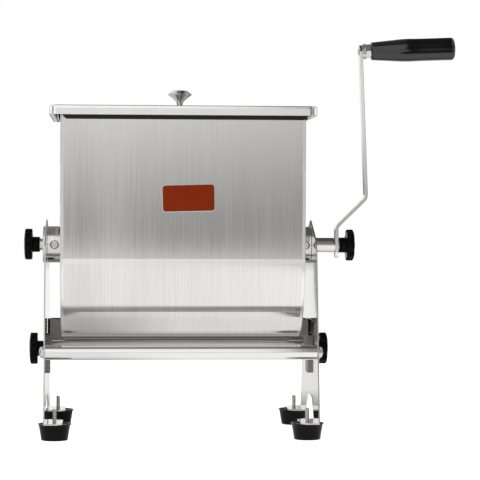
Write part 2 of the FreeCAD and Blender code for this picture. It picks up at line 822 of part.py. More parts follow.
def make_grip():
    """Moulded handle that turns on the bolt, with a pocket for the bolt's head."""
    end = grip_start + grip_length
    grip = grip_body()
    grip = grip.cut(grip_rod(grip_start, end, bolt_radius + running_gap))
    grip = grip.cut(grip_rod(end - grip_pocket_depth, end, grip_pocket_radius))
    return on_grip(grip)


def make_grip_cap():
    """Plug that closes the pocket in the grip's end."""
    return on_grip(cap_plug())


def knob_solid(base, outward, z, lobe_angle):
    """Star knob: round hub, seven lobes and a domed face, with a blind hole for its stud."""
    rim = knob_length - knob_dome
    profile = [(0, 0), (0, knob_hub_radius - knob_hub_edge), (knob_hub_edge, knob_hub_radius),
               (knob_hub_length, knob_hub_radius), (knob_hub_length, knob_radius - knob_edge)]
    profile += arc_points(knob_hub_length + knob_edge, knob_radius - knob_edge, knob_edge, -90, 0)
    profile += arc_points(rim - knob_edge, knob_radius - knob_edge, knob_edge, 0, 80)
    profile += [(rim + knob_dome * 0.55, knob_radius * 0.66),
                (rim + knob_dome * 0.88, knob_radius * 0.35), (knob_length, 0)]
    centre = Vector(outward * base, 0, z)
    knob = turned(profile, centre, Vector(outward, 0, 0))
    for lobe in range(knob_lobes):
        turn = math.radians(lobe_angle + 360 * (lobe + 0.5) / knob_lobes)
        y = knob_flute_circle * math.sin(turn)
        dz = knob_flute_circle * math.cos(turn)
        flute = rod(outward * (base + knob_hub_length), outward * (base + knob_length),
                    knob_flute_radius, y, z + dz)
        knob = knob.cut(flute)
    bore = rod(outward * base, outward * (base + knob_stud_grip), m8_radius, 0, z)
    return knob.cut(bore)


def knob_set(base, outward, reach, z=axle_height, lobe_angle=knob_lobe_angle):
    """A knob, the stud fixed in it and the washer under it, from the washer's seat out.

    One lobe points at lobe_angle, counted from up.
    """
    seat = base + knob_washer_thickness
    knob = knob_solid(seat, outward, z, lobe_angle)
    stud = rod(outward * (base - reach), outward * (seat + knob_stud_grip), m8_radius, 0, z)
    washer = ring(outward * base, outward * seat, knob_washer_radius, m8_free_hole, 0, z)
    return knob, stud, washer


nodes = {}
sides = (("left", -1), ("right", 1))
ends = (("front", -1), ("rear", 1))

for name, side in sides:
    nodes["leg_" + name] = make_leg(side)
    nodes["lock_block_" + name] = make_lock_block(side)
    nodes["tank_end_" + name] = make_tank_end(side)
    nodes["hub_" + name] = make_hub(side)
    nodes["shaft_bush_" + name] = make_bush(side)
    nodes["shaft_seal_" + name] = make_seal(side)
    nodes["lock_lug_" + name] = make_lug(side)
    knob, stud, washer = knob_set(leg_outer, side, leg_outer - block_face, lock_height)
    nodes["lock_knob_" + name] = knob
    nodes["lock_stud_" + name] = stud
    nodes["lock_washer_" + name] = washer

for end_name, end in ends:
    nodes["tie_tube_" + end_name] = make_tie_tube(end)
    for name, side in sides:
        nodes["rubber_foot_" + end_name + "_" + name] = make_foot(side * foot_x, end * foot_spread)

nodes["hub_collar_left"] = make_collar(-1, left_collar_radius)
nodes["hub_collar_right"] = make_collar(1, right_collar_radius)

corners = [(side, end) for name, side in sides for end_name, end in ends]
nodes["foot_studs"] = Part.makeCompound(
    [make_foot_stud(side * foot_x, end * foot_spread) for side, end in corners])
nodes["tie_tube_plugs"] = Part.makeCompound([make_tie_plug(side, end) for side, end in corners])
nodes["tie_screws"] = Part.makeCompound([make_tie_screw(side, end) for side, end in corners])
nodes["tie_washers"] = Part.makeCompound([make_tie_washer(side, end) for side, end in corners])
nodes["hub_set_screws"] = Part.makeCompound([make_set_screw(side) for name, side in sides])

nodes["tank_wrap"] = make_tank_wrap()
nodes["label_plate"] = make_label()
nodes["lid_sheet"] = make_lid()
nodes["lid_knob"] = make_lid_knob()
nodes["lid_knob_screw"] = make_lid_screw()

nodes["paddle_shaft"] = make_paddle_shaft()
for index in range(paddle_count):
    nodes["paddle_" + str(index + 1)] = make_paddle(index)
nodes["pivot_pin"] = make_pivot_pin()
nodes["drive_shaft"] = make_drive_shaft()
nodes["drive_cross_pin"] = make_cross_pin()
knob, stud, washer = knob_set(collar_end + pin_stand_out, -1, free_stud_length,
                              lobe_angle=pivot_lobe_angle)
nodes["pivot_knob"] = knob
nodes["pivot_stud"] = stud
nodes["pivot_washer"] = washer

nodes["crank_arm"] = make_crank_arm()
knob, stud, washer = knob_set(sleeve_end + arm_thickness, 1,
                              free_stud_length - knob_washer_thickness)
nodes["crank_knob"] = knob
nodes["crank_stud"] = stud
nodes["crank_washer"] = washer
nodes["grip_bolt"] = make_grip_bolt()
nodes["grip_spring_washer"] = make_spring_washer()
nodes["grip_flat_washer"] = make_flat_washer()
nodes["grip_nut"] = make_grip_nut()
nodes["grip_handle"] = make_grip()
nodes["grip_end_cap"] = make_grip_cap()

# The origin lies on the table under the middle of the whole object's box.
boxes = [shape.optimalBoundingBox(False) for shape in nodes.values()]
origin_x = (min(box.XMin for box in boxes) + max(box.XMax for box in boxes)) / 2

os.makedirs("parts", exist_ok=True)
for name, shape in nodes.items():
    shape.translate(Vector(-origin_x, 0, 0))
    shape.exportStep("parts/" + name + ".step")
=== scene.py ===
import math

import bmesh
import bpy
from mathutils import Matrix, Vector


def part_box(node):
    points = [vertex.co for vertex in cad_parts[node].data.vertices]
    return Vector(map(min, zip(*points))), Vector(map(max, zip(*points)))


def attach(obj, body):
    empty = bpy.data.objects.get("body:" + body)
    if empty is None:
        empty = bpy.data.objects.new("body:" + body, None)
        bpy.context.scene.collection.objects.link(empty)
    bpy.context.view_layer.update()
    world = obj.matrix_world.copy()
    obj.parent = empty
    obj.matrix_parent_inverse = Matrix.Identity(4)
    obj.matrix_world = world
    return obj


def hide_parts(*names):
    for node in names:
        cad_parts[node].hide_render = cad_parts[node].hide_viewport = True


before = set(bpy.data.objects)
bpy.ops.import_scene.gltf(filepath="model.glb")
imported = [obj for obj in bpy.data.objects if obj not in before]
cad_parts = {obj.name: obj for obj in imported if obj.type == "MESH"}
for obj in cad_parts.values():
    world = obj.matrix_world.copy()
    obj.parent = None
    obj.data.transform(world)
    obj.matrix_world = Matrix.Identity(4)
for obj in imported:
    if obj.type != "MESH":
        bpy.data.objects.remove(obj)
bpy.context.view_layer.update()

# Camera
# A long lens 2.5 m in front of the mixer, left of its middle and level with the tank's lower
# third, as the legs and the lid's lips show in the photograph.
camera_place = Vector((-0.16393, -2.5, 0.275))
camera_yaw = 3.75
camera_pitch = 0.80
camera_roll = 0.2
camera_sensor_mm = 36.0
camera_lens_mm = 150.0
camera_sight = 50.0

camera = bpy.data.objects.new("camera", bpy.data.cameras.new("camera"))
camera.data.sensor_width = camera_sensor_mm
camera.data.lens = camera_lens_mm
camera.data.clip_end = camera_sight
bpy.context.collection.objects.link(camera)
aim = (Matrix.Rotation(math.radians(-camera_yaw), 4, "Z")
       @ Matrix.Rotation(math.radians(90 - camera_pitch), 4, "X")
       @ Matrix.Rotation(math.radians(camera_roll), 4, "Z"))
camera.matrix_world = Matrix.Translation(camera_place) @ aim
scene = bpy.context.scene
scene.camera = camera
scene.view_settings.view_transform = "Standard"
scene.cycles.max_bounces = 20
scene.cycles.glossy_bounces = 12


def linear(hex_code):
    """A colour written as sRGB hex, as the linear values that shaders take."""
    values = [int(hex_code[i:i + 2], 16) / 255 for i in (1, 3, 5)]
    return [v / 12.92 if v <= 0.04045 else ((v + 0.055) / 1.055) ** 2.4 for v in values] + [1.0]


def add(tree, kind, settings=None, inputs=None):
    """Adds a node with its settings, and sets or links its inputs."""
    node = tree.nodes.new(kind)
    for key, value in (settings or {}).items():
        setattr(node, key, value)
    for key, value in (inputs or {}).items():
        if isinstance(value, bpy.types.NodeSocket):
            tree.links.new(value, node.inputs[key])
        else:
            node.inputs[key].default_value = value
    return node


# Floor and studio
# A pale sweep with a little glow of its own, so that it stays near white under the mixer. In
# reflections the floor is only a glow with painted shade on it: darker behind the mixer, under its
# left end and far out to the front right. The studio is a light tent: white low down all round, a
# soft window at the front left, dark flags at both sides and a dim ceiling.
floor_radius = 1.6
floor_colour = linear("#F4F4F4")
floor_glow = 0.80
# Painted shade: the floor's glow in reflections, by place from front to back; the left and right
# stops darken it under the mixer's left end and far out to the front right.
floor_stops = [(-0.14, 1.32), (-0.02, 1.12), (0.07, 1.08), (0.13, 0.75), (0.20, 0.38),
               (0.30, 0.35), (0.60, 0.95)]
floor_right_stops = [(-0.65, 0.15), (-0.40, 1.35), (-0.14, 1.32)] + floor_stops[1:]
floor_left_stops = [(-0.14, 1.15), (-0.04, 0.66), (0.05, 0.58), (0.20, 0.35), (0.30, 0.35),
                    (0.60, 0.95)]
floor_left_edge = (-0.06, -0.19)
floor_right_edge = (0.20, 0.30)


def brightness(tree, value, low, high, stops):
    """Brightness along a value that runs from low to high, given at a few stops."""
    share = add(tree, "ShaderNodeMapRange", inputs={
        "Value": value, "From Min": low, "From Max": high})
    node = add(tree, "ShaderNodeValToRGB", inputs={"Fac": share.outputs["Result"]})
    points = node.color_ramp.elements
    while len(points) < len(stops):
        points.new(0.5)
    for point, (place, grey) in zip(points, stops):
        point.position = (place - low) / (high - low)
        point.color = (grey, grey, grey, 1.0)
    return node.outputs["Color"]


def fade(tree, value, span, first, second):
    """Goes over softly from the first tone to the second across a span of the value."""
    share = add(tree, "ShaderNodeMapRange", {"interpolation_type": "SMOOTHSTEP"}, {
        "Value": value, "From Min": span[0], "From Max": span[1]})
    return add(tree, "ShaderNodeMix", {"data_type": "RGBA"}, {
        "Factor": share.outputs["Result"], "A": first, "B": second}).outputs["Result"]


floor_mesh = bpy.data.meshes.new("floor")
bm = bmesh.new()
bmesh.ops.create_circle(bm, cap_ends=True, segments=96, radius=floor_radius)
bm.to_mesh(floor_mesh)
bm.free()
floor = bpy.data.objects.new("floor", floor_mesh)
bpy.context.collection.objects.link(floor)
paper = bpy.data.materials.new("matt_white_paper")
paper.use_nodes = True
paper_shader = paper.node_tree.nodes["Principled BSDF"]
paper_shader.inputs["Base Color"].default_value = floor_colour
paper_shader.inputs["Roughness"].default_value = 0.9
paper_shader.inputs["Specular IOR Level"].default_value = 0.0
paper_shader.inputs["Emission Color"].default_value = floor_colour
paper_shader.inputs["Emission Strength"].default_value = floor_glow
paper_tree = paper.node_tree
spot = add(paper_tree, "ShaderNodeTexCoord").outputs["Object"]
spot_axes = add(paper_tree, "ShaderNodeSeparateXYZ", inputs={"Vector": spot}).outputs
middle_shade, left_shade, right_shade = (
    brightness(paper_tree, spot_axes["Y"], -1.0, 1.0, stops)
    for stops in (floor_stops, floor_left_stops, floor_right_stops))
shade = fade(paper_tree, spot_axes["X"], floor_left_edge, middle_shade, left_shade)
shade = fade(paper_tree, spot_axes["X"], floor_right_edge, shade, right_shade)
# The camera sees the plain near-white floor; every other ray sees this glow with its painted shade.
lit = add(paper_tree, "ShaderNodeEmission", inputs={"Color": floor_colour, "Strength": shade})
by_eye = add(paper_tree, "ShaderNodeLightPath").outputs["Is Camera Ray"]
sheet_of_paper = add(paper_tree, "ShaderNodeMixShader", inputs={
    0: by_eye, 1: lit.outputs["Emission"], 2: paper_shader.outputs["BSDF"]})
paper_tree.links.new(sheet_of_paper.outputs["Shader"],
                     paper_tree.nodes["Material Output"].inputs["Surface"])
floor.data.materials.append(paper)

world = bpy.data.worlds.new("light_tent")
scene.world = world
world.use_nodes = True
sky = world.node_tree
sky.nodes.clear()
direction = add(sky, "ShaderNodeTexCoord").outputs["Generated"]
axes = add(sky, "ShaderNodeSeparateXYZ", inputs={"Vector": direction}).outputs
low_front_stops = [(-0.05, 1.20), (-0.0245, 1.10), (-0.0205, 0.60), (-0.0170, 0.36),
                   (-0.0115, 0.37), (-0.002, 0.45), (0.016, 0.63), (0.046, 0.94)]
front_stops = low_front_stops + [(0.10, 1.2)]
flag_stops = low_front_stops + [(0.075, 1.0), (0.11, 0.07)]
high_front_stops = [(-1.0, 1.25), (0.10, 1.2), (0.80, 1.2), (0.90, 0.32), (1.0, 0.22)]
grip_stops = [(-1.0, 1.25), (-0.70, 1.25), (-0.32, 0.12), (0.11, 0.07), (1.0, 0.07)]
back_stops = [(-0.05, 0.95), (-0.03, 0.95), (-0.018, 0.20), (0.005, 0.25), (0.03, 0.95),
              (0.11, 0.95)]
high_back_stops = [(-1.0, 0.95), (0.12, 0.95), (0.30, 0.38), (1.0, 0.22)]
left_stops = [(-1.0, 1.15), (0.80, 1.15), (1.0, 0.5)]
side_stops = [(-1.0, 0.95), (-0.10, 0.90), (0.0, 0.40), (0.40, 0.40), (0.70, 0.90), (1.0, 0.5)]
level_low = -0.05
level_high = 0.11
level_end = (0.10, 0.14)
back_to_front = (-0.15, -0.75)
window_start = (-0.12, -0.22)
window_end = (-0.62, -0.78)
flag_start = (0.091, 0.096)
grip_flag_start = (0.148, 0.160)
flag_end = (0.26, 0.40)


def tent_wall(stops):
    """Brightness of the tent by the height of the direction, from straight down to straight up."""
    return brightness(sky, axes["Z"], -1.0, 1.0, stops)


def near_level(stops):
    """The same close to the horizon, where the steel mirrors it most, in finer steps."""
    return brightness(sky, axes["Z"], level_low, level_high, stops)


front = fade(sky, axes["Z"], level_end, near_level(front_stops), tent_wall(high_front_stops))
back = fade(sky, axes["Z"], level_end, near_level(back_stops), tent_wall(high_back_stops))
ends = fade(sky, axes["Y"], back_to_front, back, front)
left = fade(sky, axes["X"], window_end, tent_wall(left_stops), tent_wall(side_stops))
with_left = fade(sky, axes["X"], window_start, ends, left)
flag = fade(sky, axes["X"], grip_flag_start, near_level(flag_stops), tent_wall(grip_stops))
right = fade(sky, axes["X"], flag_end, flag, tent_wall(side_stops))
tent = fade(sky, axes["X"], flag_start, with_left, right)
seen = add(sky, "ShaderNodeLightPath").outputs["Is Camera Ray"]
colour = add(sky, "ShaderNodeMix", {"data_type": "RGBA"}, {
    "Factor": seen, "A": tent, "B": (1.0, 1.0, 1.0, 1.0)}).outputs["Result"]
backdrop = add(sky, "ShaderNodeBackground", inputs={"Color": colour})
add(sky, "ShaderNodeOutputWorld", inputs={"Surface": backdrop.outputs["Background"]})

lamp_place = Vector((-1.1, -1.5, 1.7))
lamp_target = Vector((0.0, 0.0, 0.25))
soft_light = bpy.data.lights.new("soft_light", "AREA")
soft_light.shape = "RECTANGLE"
soft_light.size = 1.0
soft_light.size_y = 0.7
soft_light.energy = 14.0
lamp = bpy.data.objects.new("soft_light", soft_light)
lamp.visible_glossy = False
lamp_turn = (lamp_place - lamp_target).to_track_quat("Z", "Y")
lamp.matrix_world = Matrix.Translation(lamp_place) @ lamp_turn.to_matrix().to_4x4()
bpy.context.collection.objects.link(lamp)


# Rubber feet
# Four tapered feet of black rubber, each moulded round the disc of its stud. The top is dished
# between a raised rim and the seat for the leg's tab. The mould leaves a fine grit with a dull
# shine.
cloud_mm = 16.666667
cloud_gain = 1.35
cloud_lift = 0.002
moulded_edge_mm = 0.3


def moulded_material(name, base, roughness, grit_mm, depth_mm, spread=0.05, ior=1.5):
    """A moulded plastic or rubber: a fine grit in its skin and a little cloudiness.

    A mould's real grit is too fine to show, so it is drawn coarser.
    """
    material = bpy.data.materials.new(name)
    material.use_nodes = True
    tree = material.node_tree
    tree.nodes.clear()
    place = add(tree, "ShaderNodeTexCoord").outputs["Object"]
    grit = add(tree, "ShaderNodeTexNoise", inputs={
        "Vector": place, "Scale": 1000 / grit_mm, "Detail": 2.0, "Roughness": 0.5})
    cloud = add(tree, "ShaderNodeTexNoise", inputs={
        "Vector": place, "Scale": 1000 / cloud_mm, "Detail": 3.0, "Roughness": 0.6})
    base_colour = linear(base)
    light = [min(c * cloud_gain + cloud_lift, 1.0) for c in base_colour[:3]] + [1.0]
    tint = add(tree, "ShaderNodeMix", {"data_type": "RGBA"}, {
        "Factor": cloud.outputs["Fac"], "A": base_colour, "B": light})
    rough = add(tree, "ShaderNodeMapRange", inputs={
        "Value": cloud.outputs["Fac"], "From Min": 0.3, "From Max": 0.7,
        "To Min": roughness - spread, "To Max": roughness + spread})
    rounded = add(tree, "ShaderNodeBevel", {"samples": 4}, {"Radius": moulded_edge_mm / 1000})
    bump = add(tree, "ShaderNodeBump", inputs={
        "Height": grit.outputs["Fac"], "Distance": depth_mm / 1000, "Strength": 1.0,
        "Normal": rounded.outputs["Normal"]})
    shader = add(tree, "ShaderNodeBsdfPrincipled", inputs={
        "Base Color": tint.outputs["Result"], "Roughness": rough.outputs["Result"],
        "Normal": bump.outputs["Normal"], "IOR": ior})
    add(tree, "ShaderNodeOutputMaterial", inputs={"Surface": shader.outputs["BSDF"]})
    return material


def turned_mesh(profile, centre, axis, steps=72, outline=None):
    """A closed turned mesh. Profile points are (distance along the axis, radius)."""
    along_axis = Vector(axis).normalized()
    up = Vector((0, 0, 1)) if abs(along_axis.z) < 0.9 else Vector((1, 0, 0))
    first = (up - along_axis * up.dot(along_axis)).normalized()
    second = along_axis.cross(first)
    bm = bmesh.new()
    rings = []
    for along, radius in profile:
        middle = Vector(centre) + along_axis * along
        if radius < 1e-7:
            rings.append([bm.verts.new(middle)])
            continue
        ring = []
        for i in range(steps):
            angle = 2 * math.pi * i / steps
            reach = outline(angle, radius) if outline else radius
            ring.append(bm.verts.new(middle + first * reach * math.cos(angle)
                                     + second * reach * math.sin(angle)))
        rings.append(ring)
    for a, b in zip(rings, rings[1:]):
        for i in range(steps):
            j = (i + 1) % steps
            if len(a) == 1:
                bm.faces.new((a[0], b[i], b[j]))
            elif len(b) == 1:
                bm.faces.new((a[i], b[0], a[j]))
            else:
                bm.faces.new((a[i], b[i], b[j], a[j]))
    bmesh.ops.recalc_face_normals(bm, faces=bm.faces)
    mesh = bpy.data.meshes.new("turned")
    bm.to_mesh(mesh)
    bm.free()
    return mesh


def edge_arc(along, radius, size, start, end, steps=5):
    """Points of a round edge in a turned profile: 0 degrees points outwards, 90 along the axis."""
    angles = [math.radians(start + (end - start) * i / steps) for i in range(steps + 1)]
    return [(along + size * math.sin(a), radius + size * math.cos(a)) for a in angles]


def put(name, mesh, material, body, stands_for=(), sharp=40):
    """Makes a piece of a mesh: its finish, the body it rides and the nodes it replaces."""
    mesh.name = name
    mesh.materials.clear()
    mesh.materials.append(material)
    mesh.shade_smooth()
    mesh.set_sharp_from_angle(angle=math.radians(sharp))
    piece = bpy.data.objects.new(name, mesh)
    bpy.context.collection.objects.link(piece)
    if stands_for:
        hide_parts(*stands_for)
    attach(piece, body)
    return piece


def middle_of(node):
    low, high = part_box(node)
    return (Vector(low) + Vector(high)) / 2


foot_base = 0.0161
foot_body = 0.0187
foot_rim = 0.0201
foot_lip = 0.0026
foot_flare = 0.0004
foot_round = 0.0012
foot_rim_width = 0.0022
foot_dish = 0.0011
foot_seat = 0.0095
foot_hollow = 0.0006
foot_hollow_shares = (0.7, 0.78)
foot_slope = 8

rubber = moulded_material("moulded_black_rubber", "#050505", roughness=0.30, grit_mm=0.5,
                          depth_mm=0.02, ior=1.2)
for name in [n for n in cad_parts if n.startswith("rubber_foot_")]:
    low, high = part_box(name)
    foot_height = high[2] - low[2]
    middle = middle_of(name)
    profile = [(foot_hollow, 0), (foot_hollow, foot_base * foot_hollow_shares[0]),
               (0, foot_base * foot_hollow_shares[1])]
    profile += edge_arc(foot_round, foot_base - foot_round, foot_round, -90, foot_slope)
    profile += [(foot_height - foot_lip, foot_body),
                (foot_height - foot_lip * 0.7, foot_body + foot_flare)]
    profile += edge_arc(foot_height - foot_round / 2, foot_rim - foot_round / 2, foot_round / 2,
                        foot_slope, 90)
    inner_rim = foot_rim - foot_rim_width
    profile += [(foot_height, inner_rim), (foot_height - foot_dish, inner_rim - foot_dish),
                (foot_height - foot_dish, foot_seat + foot_dish / 2), (foot_height, foot_seat),
                (foot_height, 0)]
    foot = turned_mesh(profile, (middle.x, middle.y, low[2]), (0, 0, 1))
    put(name.replace("rubber_foot", "foot"), foot, rubber, "stand", (name,))


# Threaded studs of the feet
# Zinc plated M5 studs that stand up through the leg tabs, pale and bright. Each thread is a ridge
# wound round a core by Geometry Nodes, on one point for each foot.
least_stretch = 0.12
wave_length_mm = 111.11111
ground_gain = 1.3
ground_shares = (1.6, 0.7)
dulling = 0.2


def metal_material(name, base, stretch, roughness, grain_mm, depth_mm, anisotropic=0.0,
                   tangent=None, contrast=0.06, mottle_mm=24.0, spread=0.04, edge_mm=0.35,
                   wave_mm=0.0, band=None, patch=None):
    """A metal with a grain: fine lines, long along one way, with wider bands.

    The real grain is too fine to show, so the lines are drawn coarser. A band makes a paler
    ground strip along both ends of an axis. A patch gives the faces that look one way (or both
    ways, with both set) another colour and more roughness; on the lid it paints shade underneath.
    """
    material = bpy.data.materials.new(name)
    material.use_nodes = True
    tree = material.node_tree
    tree.nodes.clear()
    place = add(tree, "ShaderNodeTexCoord").outputs["Object"]
    fine = add(tree, "ShaderNodeMapping", inputs={
        "Vector": place, "Scale": [s * 1000 / grain_mm for s in stretch]})
    lines = add(tree, "ShaderNodeTexNoise", inputs={
        "Vector": fine.outputs["Vector"], "Scale": 1.0, "Detail": 3.0, "Roughness": 0.65})
    wide = add(tree, "ShaderNodeMapping", inputs={
        "Vector": place, "Scale": [max(s, least_stretch) * 1000 / mottle_mm for s in stretch]})
    bands = add(tree, "ShaderNodeTexNoise", inputs={
        "Vector": wide.outputs["Vector"], "Scale": 1.0, "Detail": 2.0, "Roughness": 0.5})
    tone = add(tree, "ShaderNodeMath", {"operation": "ADD"}, {
        0: lines.outputs["Fac"], 1: bands.outputs["Fac"]}).outputs["Value"]
    base_colour = linear(base)
    dark = [c * (1 - contrast) for c in base_colour[:3]] + [1.0]
    light = [min(c * (1 + contrast), 1.0) for c in base_colour[:3]] + [1.0]
    mix = add(tree, "ShaderNodeMapRange", inputs={
        "Value": tone, "From Min": 0.7, "From Max": 1.3})
    tint = add(tree, "ShaderNodeMix", {"data_type": "RGBA"}, {
        "Factor": mix.outputs["Result"], "A": dark, "B": light}).outputs["Result"]
    rough = add(tree, "ShaderNodeMapRange", inputs={
        "Value": tone, "From Min": 0.6, "From Max": 1.4,
        "To Min": roughness - spread, "To Max": roughness + spread}).outputs["Result"]
    rounded = add(tree, "ShaderNodeBevel", {"samples": 4}, {"Radius": edge_mm / 1000})
    bump = add(tree, "ShaderNodeBump", inputs={
        "Height": lines.outputs["Fac"], "Distance": depth_mm / 1000, "Strength": 1.0,
        "Normal": rounded.outputs["Normal"]})
    normal = bump.outputs["Normal"]
    if wave_mm:
        slow = add(tree, "ShaderNodeTexNoise", inputs={
            "Vector": place, "Scale": 1000 / wave_length_mm, "Detail": 1.0, "Roughness": 0.4})
        waves = add(tree, "ShaderNodeBump", inputs={
            "Height": slow.outputs["Fac"], "Distance": wave_mm / 1000, "Strength": 1.0,
            "Normal": normal})
        normal = waves.outputs["Normal"]
    if band:
        axis, low, high, width = band
        split = add(tree, "ShaderNodeSeparateXYZ", inputs={"Vector": place}).outputs[axis]
        from_middle = add(tree, "ShaderNodeMath", {"operation": "SUBTRACT"}, {
            0: split, 1: (low + high) / 2}).outputs["Value"]
        reach = add(tree, "ShaderNodeMath", {"operation": "ABSOLUTE"}, {
            0: from_middle}).outputs["Value"]
        half = (high - low) / 2
        ground = add(tree, "ShaderNodeMapRange", inputs={
            "Value": reach, "From Min": half - width * ground_shares[0],
            "From Max": half - width * ground_shares[1]}).outputs["Result"]
        pale = [min(c * ground_gain, 1.0) for c in base_colour[:3]] + [1.0]
        tint = add(tree, "ShaderNodeMix", {"data_type": "RGBA"}, {
            "Factor": ground, "A": tint, "B": pale}).outputs["Result"]
        rough = add(tree, "ShaderNodeMath", {"operation": "MULTIPLY_ADD"}, {
            0: ground, 1: dulling, 2: rough}).outputs["Value"]
    if patch:
        facing, both, other = patch
        looks = add(tree, "ShaderNodeNewGeometry").outputs["Normal"]
        toward = add(tree, "ShaderNodeVectorMath", {"operation": "DOT_PRODUCT"}, {
            0: looks, 1: facing}).outputs["Value"]
        if both:
            toward = add(tree, "ShaderNodeMath", {"operation": "ABSOLUTE"}, {
                0: toward}).outputs["Value"]
        under = add(tree, "ShaderNodeMapRange", inputs={
            "Value": toward, "From Min": 0.5, "From Max": 0.9}).outputs["Result"]
        tint = add(tree, "ShaderNodeMix", {"data_type": "RGBA"}, {
            "Factor": under, "A": tint, "B": linear(other)}).outputs["Result"]
        rough = add(tree, "ShaderNodeMath", {"operation": "MULTIPLY_ADD"}, {
            0: under, 1: dulling, 2: rough}).outputs["Value"]
    shader = add(tree, "ShaderNodeBsdfPrincipled", inputs={
        "Base Color": tint, "Metallic": 1.0, "Roughness": rough, "Normal": normal,
        "Anisotropic": anisotropic})
    if tangent:
        way = add(tree, "ShaderNodeCombineXYZ", inputs={
            "X": tangent[0], "Y": tangent[1], "Z": tangent[2]})
        tree.links.new(way.outputs["Vector"], shader.inputs["Tangent"])
    add(tree, "ShaderNodeOutputMaterial", inputs={"Surface": shader.outputs["BSDF"]})
    return material


def finish(material, *starts):
    """Gives a material to every CAD node whose name starts with one of these."""
    for name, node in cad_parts.items():
        if name.startswith(starts):
            for place in node.material_slots:
                place.material = material


def node_tree(name, *sizes):
    """A Geometry Nodes tree with a geometry in and out, a material and named sizes."""
    tree = bpy.data.node_groups.new(name, "GeometryNodeTree")
    tree.interface.new_socket("Geometry", in_out="OUTPUT", socket_type="NodeSocketGeometry")
    tree.interface.new_socket("Geometry", in_out="INPUT", socket_type="NodeSocketGeometry")
    tree.interface.new_socket("Material", in_out="INPUT", socket_type="NodeSocketMaterial")
    for size in sizes:
        tree.interface.new_socket(size, in_out="INPUT", socket_type="NodeSocketFloat")
    return tree, add(tree, "NodeGroupInput").outputs


def close_tree(tree, geometry, material):
    """Ends a tree in Realize Instances and Set Material."""
    real = add(tree, "GeometryNodeRealizeInstances", inputs={"Geometry": geometry})
    done = add(tree, "GeometryNodeSetMaterial", inputs={
        "Geometry": real.outputs["Geometry"], "Material": material})
    add(tree, "NodeGroupOutput", inputs={"Geometry": done.outputs["Geometry"]})


def grow(base, tree, material, **sizes):
    """Runs a tree on a mesh of points or lines and returns the result as a plain mesh."""
    seed = bpy.data.objects.new("seed", base)
    bpy.context.collection.objects.link(seed)
    modifier = seed.modifiers.new("nodes", "NODES")
    modifier.node_group = tree
    values = dict(sizes, Material=material)
    for socket in tree.interface.items_tree:
        if socket.item_type == "SOCKET" and socket.in_out == "INPUT" and socket.name in values:
            modifier[socket.identifier] = values[socket.name]
    seen_now = seed.evaluated_get(bpy.context.evaluated_depsgraph_get())
    grown = bpy.data.meshes.new_from_object(seen_now)
    seed.modifiers.remove(modifier)
    bpy.data.objects.remove(seed)
    return grown


def lines_mesh(paths):
    """A mesh of bare points and edges, one run for each path."""
    mesh = bpy.data.meshes.new("lines")
    points = [tuple(p) for path in paths for p in path]
    edges = []
    start = 0
    for path in paths:
        edges += [(start + i, start + i + 1) for i in range(len(path) - 1)]
        start += len(path)
    mesh.from_pydata(points, edges, [])
    return mesh


stud_radius = 0.0025
stud_pitch = 0.0008
stud_thread_depth = 0.0003

plated_steel = metal_material("zinc_plated_steel", "#C9C9C8", (0.5, 0.5, 0.5), roughness=0.2,
                              grain_mm=0.8, depth_mm=0.003)
thread_tree, ins = node_tree("wound_thread", "Radius", "Height", "Pitch", "Depth")
core_radius = add(thread_tree, "ShaderNodeMath", {"operation": "SUBTRACT"}, {
    0: ins["Radius"], 1: ins["Depth"]}).outputs["Value"]
turns = add(thread_tree, "ShaderNodeMath", {"operation": "DIVIDE"}, {
    0: ins["Height"], 1: ins["Pitch"]}).outputs["Value"]
helix = add(thread_tree, "GeometryNodeCurveSpiral", inputs={
    "Resolution": 20, "Rotations": turns, "Start Radius": core_radius, "End Radius": core_radius,
    "Height": ins["Height"]})
ridge = add(thread_tree, "GeometryNodeCurvePrimitiveCircle", inputs={
    "Resolution": 4, "Radius": ins["Depth"]})
thread = add(thread_tree, "GeometryNodeCurveToMesh", inputs={
    "Curve": helix.outputs["Curve"], "Profile Curve": ridge.outputs["Curve"], "Fill Caps": True})
core = add(thread_tree, "GeometryNodeMeshCylinder", inputs={
    "Vertices": 32, "Radius": core_radius, "Depth": ins["Height"]})
half_height = add(thread_tree, "ShaderNodeMath", {"operation": "MULTIPLY"}, {
    0: ins["Height"], 1: 0.5})
lift = add(thread_tree, "ShaderNodeCombineXYZ", inputs={"Z": half_height.outputs["Value"]})
raised = add(thread_tree, "GeometryNodeTransform", inputs={
    "Geometry": core.outputs["Mesh"], "Translation": lift.outputs["Vector"]})
joined = add(thread_tree, "GeometryNodeJoinGeometry")
thread_tree.links.new(thread.outputs["Mesh"], joined.inputs["Geometry"])
thread_tree.links.new(raised.outputs["Geometry"], joined.inputs["Geometry"])
spots = add(thread_tree, "GeometryNodeMeshToPoints", inputs={"Mesh": ins["Geometry"]})
studs = add(thread_tree, "GeometryNodeInstanceOnPoints", inputs={
    "Points": spots.outputs["Points"], "Instance": joined.outputs["Geometry"]})
close_tree(thread_tree, studs.outputs["Instances"], ins["Material"])

stud_low, stud_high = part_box("foot_studs")
stud_base = stud_low[2]
stud_spots = [(middle_of(n).x, middle_of(n).y, stud_base)
              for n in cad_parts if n.startswith("rubber_foot_")]
stud_mesh = grow(lines_mesh([[spot] for spot in stud_spots]), thread_tree, plated_steel,
                 Radius=stud_radius, Height=stud_high[2] - stud_base, Pitch=stud_pitch,
                 Depth=stud_thread_depth)
put("threaded_foot_studs", stud_mesh, plated_steel, "stand", ("foot_studs",))

# Leg plates
# Two plates of bright annealed sheet steel, cut to their outline and bent at the tabs. The rolls
# leave the sheet nearly a mirror, with faint streaks up the plate and slow waves in it.
mirror_steel = metal_material("bright_annealed_steel", "#DAD9D6", (1.0, 1.0, 0.02), roughness=0.07,
                              grain_mm=0.8, depth_mm=0.002, contrast=0.03, spread=0.03,
                              wave_mm=0.10, patch=((0, 1, 0), True, "#BDBBB8"))
finish(mirror_steel, "leg_")
